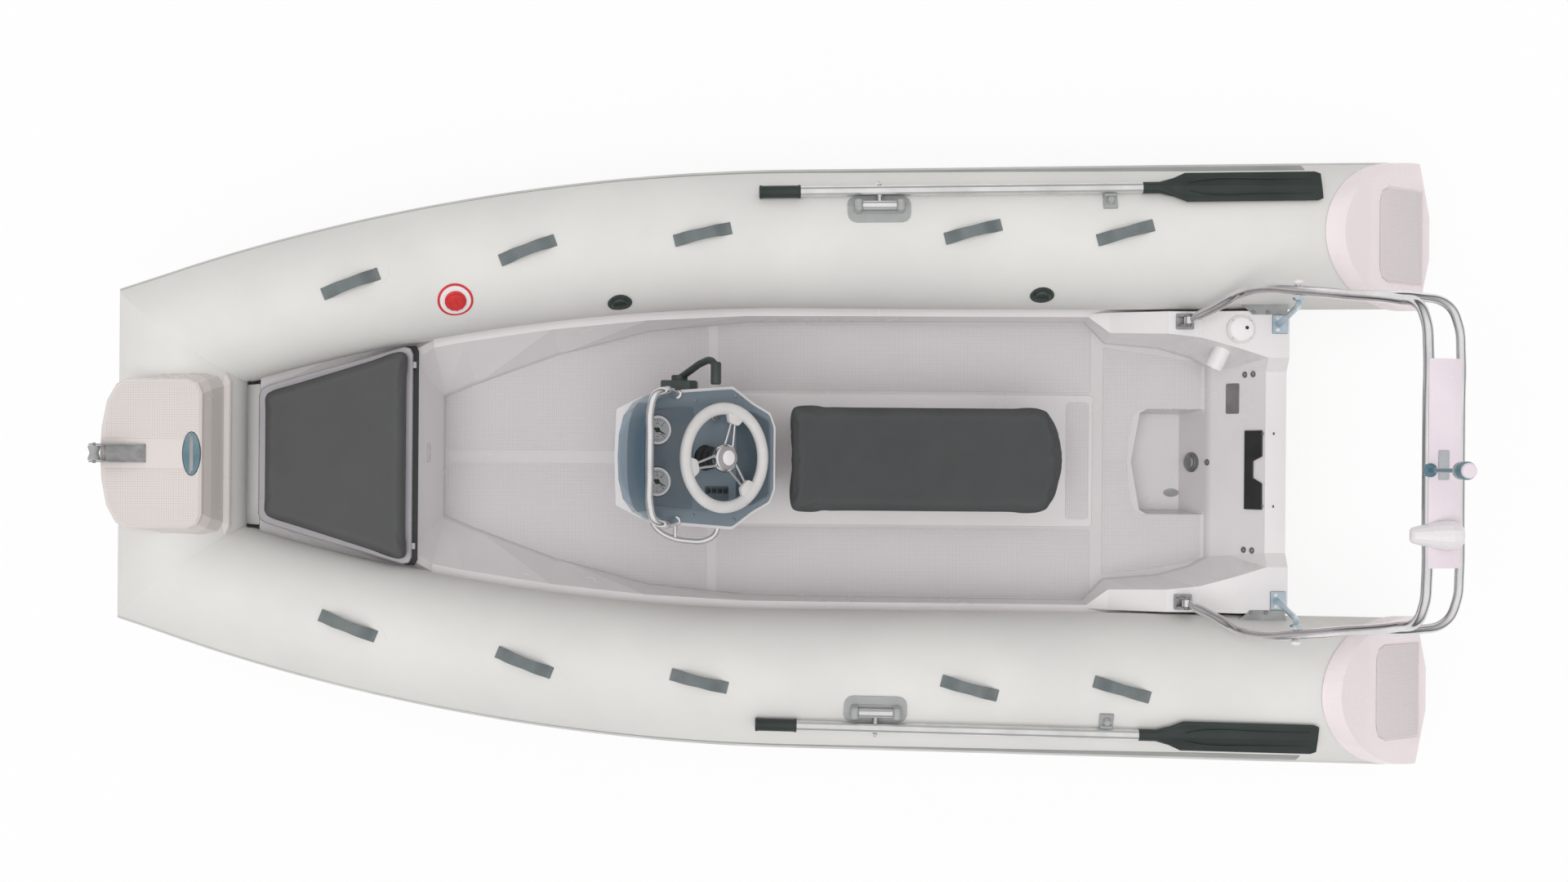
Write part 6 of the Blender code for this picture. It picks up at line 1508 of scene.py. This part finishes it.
# %% [markdown]
# The pink-white panel lies on both bars, and because the rear bar is lower it falls aft.
# The all-round light stands on a thin pole and leans aft; its lens is blue-grey under a
# pale cap.

# %% Panel and lamp
FALL = Matrix.Rotation(math.atan2(1.4870 - 1.4515, 1.962 - 1.858), 4, "Y")
top = plate(oblong(0.0, 0.110, 0.302), 0.0022, 0.002, 0.0006)
at(top, shifted(1.8490, 0, 1.4885) @ FALL)
settle("arch_top_panel", panel_gelcoat, "arch", replaces="arch_panel")
plain = plate(oblong(-0.018, 0.018, 0.0425), 0.003, 0.004, 0.001)
at(plain, shifted(1.897, -0.005, 1.4755) @ FALL)
settle("lamp_bracket", dial_plastic, "arch")
lean = shifted(1.853, -0.020, 1.470) @ Matrix.Rotation(math.atan(0.0175 / 0.33), 4, "Y")
clamp = at(turned([(0.020, 0.012), (0.020, 0.024), (0.012, 0.030)], 28), lean)
pole = at(turned([(0.0065, 0.028), (0.0065, 0.262)], 20), lean)
merged([clamp, pole])
settle("lamp_pole", lamp_lens, "arch", replaces="nav_light")
lens = [(0.012, 0.252), (0.022, 0.258), (0.0255, 0.264), (0.0255, 0.312), (0.022, 0.318)]
at(turned(lens, 36), lean)
settle("lamp_lens", lamp_lens, "arch")
at(turned([(0.0215, 0.317), (0.0215, 0.326), (0.018, 0.330), (0.008, 0.3315)], 36), lean)
settle("lamp_cap", panel_gelcoat, "arch")
print("panel and lamp")

# %% [markdown]
# ## Small fittings at the stern
# The slope of the transom carries bolts, a bare plate and the drain bung, and a drain plate
# lies in the sump. Every small fitting is turned or cut flat and then laid on its surface,
# so one function gives a place on the slope and one a place on the bulkhead of the locker.

# %% Stern fittings
SLOPE = Vector((-0.824, 0.0, 0.566)).normalized()
UPHILL = Vector((0.566, 0.0, 0.824))
SLOPE_FOOT, SLOPE_FOOT_HEIGHT, SLOPE_PITCH = 1.436, 0.300, 0.687
BULKHEAD = Vector((0.984, 0.0, 0.176))
BULKHEAD_X, BULKHEAD_TOP, BULKHEAD_PITCH = -1.215, 0.625, 0.1785
DECK_LEVEL = 0.570
BUNG_PLACE = (1.402, -0.001)


def on_slope(x, y, rise=0.0):
    """A place on the inner slope of the transom: X uphill, Z straight out."""
    height = SLOPE_FOOT_HEIGHT + (x - SLOPE_FOOT) / SLOPE_PITCH
    return axes(Vector((x, y, height)) + SLOPE * rise, UPHILL, SLOPE.cross(UPHILL), SLOPE)


def on_bulkhead(y, z):
    """A place on the after face of the bow locker: X to starboard, Z straight out."""
    spot = (BULKHEAD_X + (BULKHEAD_TOP - z) * BULKHEAD_PITCH, y, z)
    return axes(spot, (0, 1, 0), BULKHEAD.cross(Vector((0, 1, 0))), BULKHEAD)


def button(radius, height):
    """A low domed head with a thin washer."""
    return turned([(radius * 1.35, 0.0), (radius * 1.35, height * 0.2),
                   (radius, height * 0.25), (radius * 0.92, height * 0.75),
                   (radius * 0.55, height)], 18)


bolts = [at(button(0.0080, 0.008), on_slope(x, y)) for x, y in
         ((1.541, 0.293), (1.541, -0.293), (1.562, 0.294), (1.562, -0.294),
          (1.444, -0.001))]
for x, y in ((1.541, 0.495), (1.541, -0.495), (1.590, 0.495), (1.590, -0.495)):
    bolts.append(at(button(0.0060, 0.006), shifted(x, y, DECK_LEVEL + 0.003)))
for y in (0.29, 0.33, -0.306, -0.346):
    bolts.append(at(button(0.0050, 0.005), on_bulkhead(y, 0.585)))
merged(bolts)
settle("deck_bolts", dull_steel)
at(plate(oblong(-0.030, 0.030, 0.051), 0.0025, 0.006, 0.0006), on_slope(1.510, 0.214))
settle("bare_plate", zinc)
at(turned([(0.0345, 0.0), (0.0345, 0.003), (0.029, 0.005), (0.029, 0.010), (0.026, 0.012)],
          36), on_slope(*BUNG_PLACE))
settle("bung_collar", dull_steel)
at(turned([(0.0225, 0.010), (0.0225, 0.016), (0.019, 0.019), (0.008, 0.020)], 36),
   on_slope(*BUNG_PLACE))
settle("drain_bung", zinc)
oval = plate([(0.0265 * math.cos(a * math.pi / 12), 0.014 * math.sin(a * math.pi / 12))
              for a in range(24)], 0.0022, lip=0.0006)
at(oval, shifted(1.341, -0.107, 0.2006))
settle("drain_plate", dull_steel)
print("transom fittings")

# %% [markdown]
# A round white deck plate with four screws sits on the starboard side deck. Beside it the
# boot of the cables leaves the slope, and on each side lies a metal gusset plate.

# %% Deck plate and gussets
PLATE_X, PLATE_Y, SCREW_CIRCLE = 1.504, 0.438, 0.041
on_plate = shifted(PLATE_X, PLATE_Y, DECK_LEVEL + 0.0005)
at(turned([(0.047, 0.0), (0.047, 0.0014), (0.044, 0.0022)], 40), on_plate)
settle("deck_plate_washer", wheel_plastic)
at(turned([(0.039, 0.001), (0.038, 0.005), (0.024, 0.008), (0.008, 0.009)], 40), on_plate)
settle("deck_plate", white_gelcoat)
heads = []
for quarter in range(4):
    turn = math.radians(45 + 90 * quarter)
    heads.append(at(button(0.003, 0.003), shifted(PLATE_X + SCREW_CIRCLE * math.cos(turn),
                                                  PLATE_Y + SCREW_CIRCLE * math.sin(turn),
                                                  DECK_LEVEL + 0.0025)))
merged(heads)
settle("deck_plate_screws", stainless)
at(turned([(0.006, 0.0), (0.006, 0.0012), (0.004, 0.0018)], 18),
   shifted(1.520, 0.443, DECK_LEVEL + 0.0085))
settle("deck_plate_hole", black_plastic)
for name, side in SIDES:
    plan = [(1.482, side * 0.533), (1.541, side * 0.487), (1.651, side * 0.487),
            (1.660, side * 0.533)]
    if side > 0:
        plan.reverse()
    at(plate(plan, 0.003, 0.005, 0.0008), shifted(z=DECK_LEVEL))
    settle(f"gusset_{name}", zinc)
bent_bar([(1.462, 0.385, 0.490), (1.450, 0.358, 0.483), (1.432, 0.318, 0.470)], 0.030, 8)
settle("cable_boot", white_gelcoat)
merged([at(button(0.0045, 0.004), shifted(1.622, y, DECK_LEVEL + 0.0055))
        for y in (0.437, 0.473, -0.437, -0.473)])
settle("strut_plate_bolts", white_gelcoat)
merged([at(button(0.0035, 0.003), on_slope(x, y, 0.0062))
        for y in (0.095, -0.145) for x in (1.590, 1.618)])
settle("pad_screws", dull_steel)
print("deck fittings")

# %% [markdown]
# ## Small fittings at the bow
# The pop-up cleat has a bar in a brushed oval plate. Under the lid a small flush fitting
# sits in the face of the locker, a strip of tube cloth closes the gap between bow tube and
# locker, and a dark rubber seal runs round under the lid. The seal is the outline of the
# lid, a little larger, so it is written in shares of the lid's length and half width.

# %% Bow fittings
bar = plate(oblong(-0.006, 0.006, 0.055), 0.0012, 0.0055, 0.0005, 4)
parts = [at(bar, shifted(CLEAT_X, 0, STEP_TOP + 0.0012))]
for y in (-0.058, 0.058):
    parts.append(at(turned([(0.0035, 0.0), (0.0035, 0.0014)], 14),
                    shifted(CLEAT_X - 0.004, y, STEP_TOP + 0.0010)))
merged(parts)
settle("cleat_bar", zinc, "bow_cleat")
at(plate(oblong(-0.034, 0.034, 0.014), 0.0022, 0.010, 0.0006), on_bulkhead(0.0105, 0.470))
settle("flush_fitting", stainless)
low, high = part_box("locker_lid")
LIP_THICK, LIP_FORWARD = 0.004, 0.055
lip = plate([(0.0, -0.226), (0.052, -0.230), (0.052, 0.230), (0.0, 0.226)], LIP_THICK, 0.004,
            0.001)
at(lip, shifted(low.x - LIP_FORWARD, 0, low.z - LIP_THICK))
settle("locker_lip", tube_fabric)
LID_OUTLINE = both([(0.0, 0.0), (0.0, 0.543), (0.015, 0.592), (0.055, 0.623),
                    (0.926, 0.993), (0.981, 1.0), (1.0, 0.948), (1.0, 0.0)])
SEAL = 0.006
seal = [(low.x - SEAL + x * (high.x - low.x + 2 * SEAL), y * (high.y + SEAL))
        for x, y in LID_OUTLINE]
at(plate(seal, 0.004, 0.0, 0.001), shifted(z=low.z + 0.001))
settle("lid_seal", black_plastic, "locker_lid")
print("bow fittings, lid from", round(low.x, 3), "to", round(high.x, 3))

# %% [markdown]
# ## The oars
# Each shaft has a dark sleeve at its grip end and each blade three shallow ribs. They ride
# with the rowlock, so the whole oar turns on its pin. The pin lies flat across the tube, and
# the oar runs aft at a right angle to it: the stowed direction, less its part along the
# pin, is the oar's own axis, along which sleeve and ribs are placed.

# %% Oar grips and blade ribs
ROWLOCK_X, ROWLOCK_ANGLE, BARREL_RISE, OAR_ASIDE = 0.295, 69.6, 0.024, 0.052
OAR_SPREAD, OAR_DIP = math.radians(1.8), math.radians(0.9)
for name, side in SIDES:
    barrel = skin_place(ROWLOCK_X, ROWLOCK_ANGLE, side) @ shifted(z=BARREL_RISE)
    pin = barrel.col[1].to_3d()
    level = Vector((math.cos(OAR_SPREAD), side * math.sin(OAR_SPREAD), -math.sin(OAR_DIP)))
    run = (level - pin * level.dot(pin)).normalized()
    oar = axes(barrel.translation + pin * side * OAR_ASIDE, run, pin, run.cross(pin))
    along = oar @ Matrix.Rotation(math.pi / 2, 4, "Y")
    sleeve = turned([(0.0150, -0.3865), (0.0218, -0.3850), (0.0218, -0.3790),
                     (0.0202, -0.3765), (0.0202, -0.2620), (0.0218, -0.2600),
                     (0.0218, -0.2540), (0.0180, -0.2525)], 28)
    at(sleeve, along)
    settle(f"oar_grip_{name}", oar_plastic, f"rowlock_{name}")
    ribs = []
    for across in (-0.026, 0.0, 0.026):
        for face in (-1, 1):
            line = [(1.000, across * 0.6, face * 0.0085), (1.060, across, face * 0.0078),
                    (1.250, across, face * 0.0062), (1.400, across, face * 0.0036)]
            ribs.append(at(bent_bar(line, 0.0022, 3), oar))
    merged(ribs)
    settle(f"blade_ribs_{name}", oar_plastic, f"rowlock_{name}")
print("oars dressed")

# %% [markdown]
# ## The cushions
# Both pads are foam in grained vinyl: a flat underside, sides that pull in a little and a
# shallow crown. Their form comes from a short cloth simulation, which blows a slightly
# small pad up like a real stuffed cover. A cap on the travel keeps its size.

# %% Stuffing
VOXEL = 0.0055
SWELL_CAP = 0.008
FRAMES = 18
SHRINK = 0.005
PRESSURE = 4.0
UNDER_GAP, CROWN_ROOM, CROWN_OVER, SOLE = 0.002, 0.009, 0.002, 0.0004
CORNER_ROUND = 0.010


def stuffed(node, plan):
    """A pad blown up from a slightly smaller block inside its solid's space."""
    low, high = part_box(node)
    middle = (low + high) / 2
    size = high - low
    scale = [1 - 2 * SHRINK / size.x, 1 - 2 * SHRINK / size.y]
    small = [(middle.x + (x - middle.x) * scale[0], y * scale[1]) for x, y in plan]
    pad = at(plate(small, size.z - CROWN_ROOM), shifted(z=low.z + UNDER_GAP))
    soften(CORNER_ROUND, 3)
    apply("REMESH", mode="VOXEL", voxel_size=VOXEL)
    start = [vertex.co.copy() for vertex in pad.data.vertices]
    cloth = pad.modifiers.new("stuffing", "CLOTH")
    cloth.settings.use_pressure = True
    cloth.settings.uniform_pressure_force = PRESSURE
    cloth.settings.effector_weights.gravity = 0.0
    cloth.settings.quality = 5
    for step in range(1, FRAMES + 1):
        bpy.context.scene.frame_set(step)
    bpy.ops.object.modifier_apply(modifier=cloth.name)
    bpy.context.scene.frame_set(1)
    for vertex, before in zip(pad.data.vertices, start):
        move = vertex.co - before
        if move.length > SWELL_CAP:
            move *= SWELL_CAP / move.length
        vertex.co = before + move
        vertex.co.x = min(max(vertex.co.x, low.x), high.x)
        vertex.co.y = min(max(vertex.co.y, low.y), high.y)
        vertex.co.z = min(max(vertex.co.z, low.z + SOLE), high.z + CROWN_OVER)
    apply("SMOOTH", factor=0.5, iterations=3)
    return pad


print("foam pads swell by", SWELL_CAP, "m at most")

# %% [markdown]
# The seat's plan is rounded at its after end, and the bow pad is a trapezium like its lid.
# A smooth cover over the voxels is given by one level of subdivision. Each pad rides with
# the piece that carries it, and takes the place of its plain solid in the frame.

# %% Seat and bow cushion
SEAT_PLAN = both([(0.013, 0.0), (0.013, 0.160), (0.019, 0.176), (0.035, 0.181),
                  (0.830, 0.181), (0.864, 0.168), (0.884, 0.136), (0.903, 0.087),
                  (0.918, 0.0)])
BOW_PLAN = both([(-1.690, 0.0), (-1.690, 0.188), (-1.683, 0.205), (-1.664, 0.2155),
                 (-1.250, 0.3435), (-1.224, 0.346), (-1.215, 0.328), (-1.215, 0.0)])
for node, plan, body, cover in (("bow_cushion", BOW_PLAN, "locker_lid", bow_vinyl),
                                ("seat_cushion", SEAT_PLAN, "seat_cushion", vinyl)):
    pad = stuffed(node, plan)
    apply("SUBSURF", levels=1, render_levels=1)
    pad.name = f"{node}_cover"
    pad.data.materials.clear()
    pad.data.materials.append(cover)
    bpy.ops.object.shade_smooth()
    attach(pad, body)
    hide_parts(node)
    print(pad.name, len(pad.data.polygons), "faces")

# %% [markdown]
# ## Floor and light
# To the camera, floor and sky are nearly white, but they must not light the object as
# strongly as that. The light path tells the two apart: rays from the camera, also by way of
# metal and glass, see the bright surface, and all other rays see the true one.

# %% Rays that are seen


def in_sight(tree, path):
    """1 for what the camera sees, also in metal and through glass, and 0 for the rest."""
    camera_ray, glossy, through = (path.outputs[name] for name in (
        "Is Camera Ray", "Is Glossy Ray", "Is Transmission Ray"))
    total = add_node(tree, "ShaderNodeMath", {0: camera_ray, 1: glossy}, operation="ADD")
    total = add_node(tree, "ShaderNodeMath", {0: total.outputs["Value"], 1: through},
                     operation="ADD", use_clamp=True)
    return total.outputs["Value"]


print("light path ready")

# %% [markdown]
# The floor is a plain pale sheet just under the keel. It glows for the rays that are seen,
# but not fully: the share that is left is the shaded sheet, which shows a soft shadow.

# %% Floor
FLOOR_SIZE, FLOOR_LEVEL = 60.0, -0.0015
SHADOWLESS = 0.85
deselect()
bpy.ops.mesh.primitive_plane_add(size=FLOOR_SIZE, location=(0, 0, FLOOR_LEVEL))
ground = bpy.context.object
ground.name = "studio_floor"
sheet = finish("studio_floor", (0.93, 0.93, 0.93), (0.92, 0.92, 0.92), (0.8, 0.9), 1.0)
tree = sheet.node_tree
path = add_node(tree, "ShaderNodeLightPath")
share = add_node(tree, "ShaderNodeMath", {0: in_sight(tree, path), 1: SHADOWLESS},
                 operation="MULTIPLY")
glow = add_node(tree, "ShaderNodeEmission", {"Strength": 1.0})
mix = add_node(tree, "ShaderNodeMixShader", {0: share.outputs["Value"]})
join(tree, tree.nodes["Principled BSDF"].outputs["BSDF"], mix.inputs[1])
join(tree, glow.outputs["Emission"], mix.inputs[2])
join(tree, mix.outputs["Shader"], tree.nodes["Material Output"].inputs["Surface"])
ground.data.materials.append(sheet)
print("floor", FLOOR_SIZE, "m wide")

# %% [markdown]
# One broad soft sun from above and an even sky give the flat light of a catalogue picture.
# The sun's disc is hidden from reflections, where it would burn a white spot into every
# bar. Metal sees a sky that fades toward the horizon instead, so that bent bars look round.

# %% Light
SUN_LEVEL, SKY_LEVEL, SEEN_LEVEL = 1.45, 0.58, 0.97
SUN_SPREAD = math.radians(50)
FADE_FROM, FADE_TO, HORIZON_LEVEL = 0.10, 0.80, 0.12
bpy.ops.object.light_add(type="SUN", location=(0, 0, 6), rotation=(0.12, -0.10, 0))
sun = bpy.context.object
sun.data.energy = SUN_LEVEL
sun.data.angle = SUN_SPREAD
sun.visible_glossy = False

world = bpy.data.worlds.new("studio")
bpy.context.scene.world = world
world.use_nodes = True
sky = world.node_tree
backdrop = sky.nodes["Background"]
backdrop.inputs["Color"].default_value = (1, 1, 1, 1)
path = add_node(sky, "ShaderNodeLightPath")
level = add_node(sky, "ShaderNodeMapRange", {"Value": in_sight(sky, path),
                                             "To Min": SKY_LEVEL, "To Max": SEEN_LEVEL})
facing = add_node(sky, "ShaderNodeTexCoord")
height = add_node(sky, "ShaderNodeSeparateXYZ", {0: facing.outputs["Generated"]})
fade = add_node(sky, "ShaderNodeMapRange",
                {"Value": height.outputs["Z"], "From Min": FADE_FROM, "From Max": FADE_TO,
                 "To Min": HORIZON_LEVEL, "To Max": SEEN_LEVEL})
mirrored = add_node(sky, "ShaderNodeMix", {"Factor": path.outputs["Is Glossy Ray"],
                                           "A": level.outputs["Result"],
                                           "B": fade.outputs["Result"]})
join(sky, mirrored.outputs["Result"], backdrop.inputs["Strength"])
bpy.context.scene.view_settings.view_transform = "Standard"
print("sun", SUN_LEVEL, "sky", SKY_LEVEL)
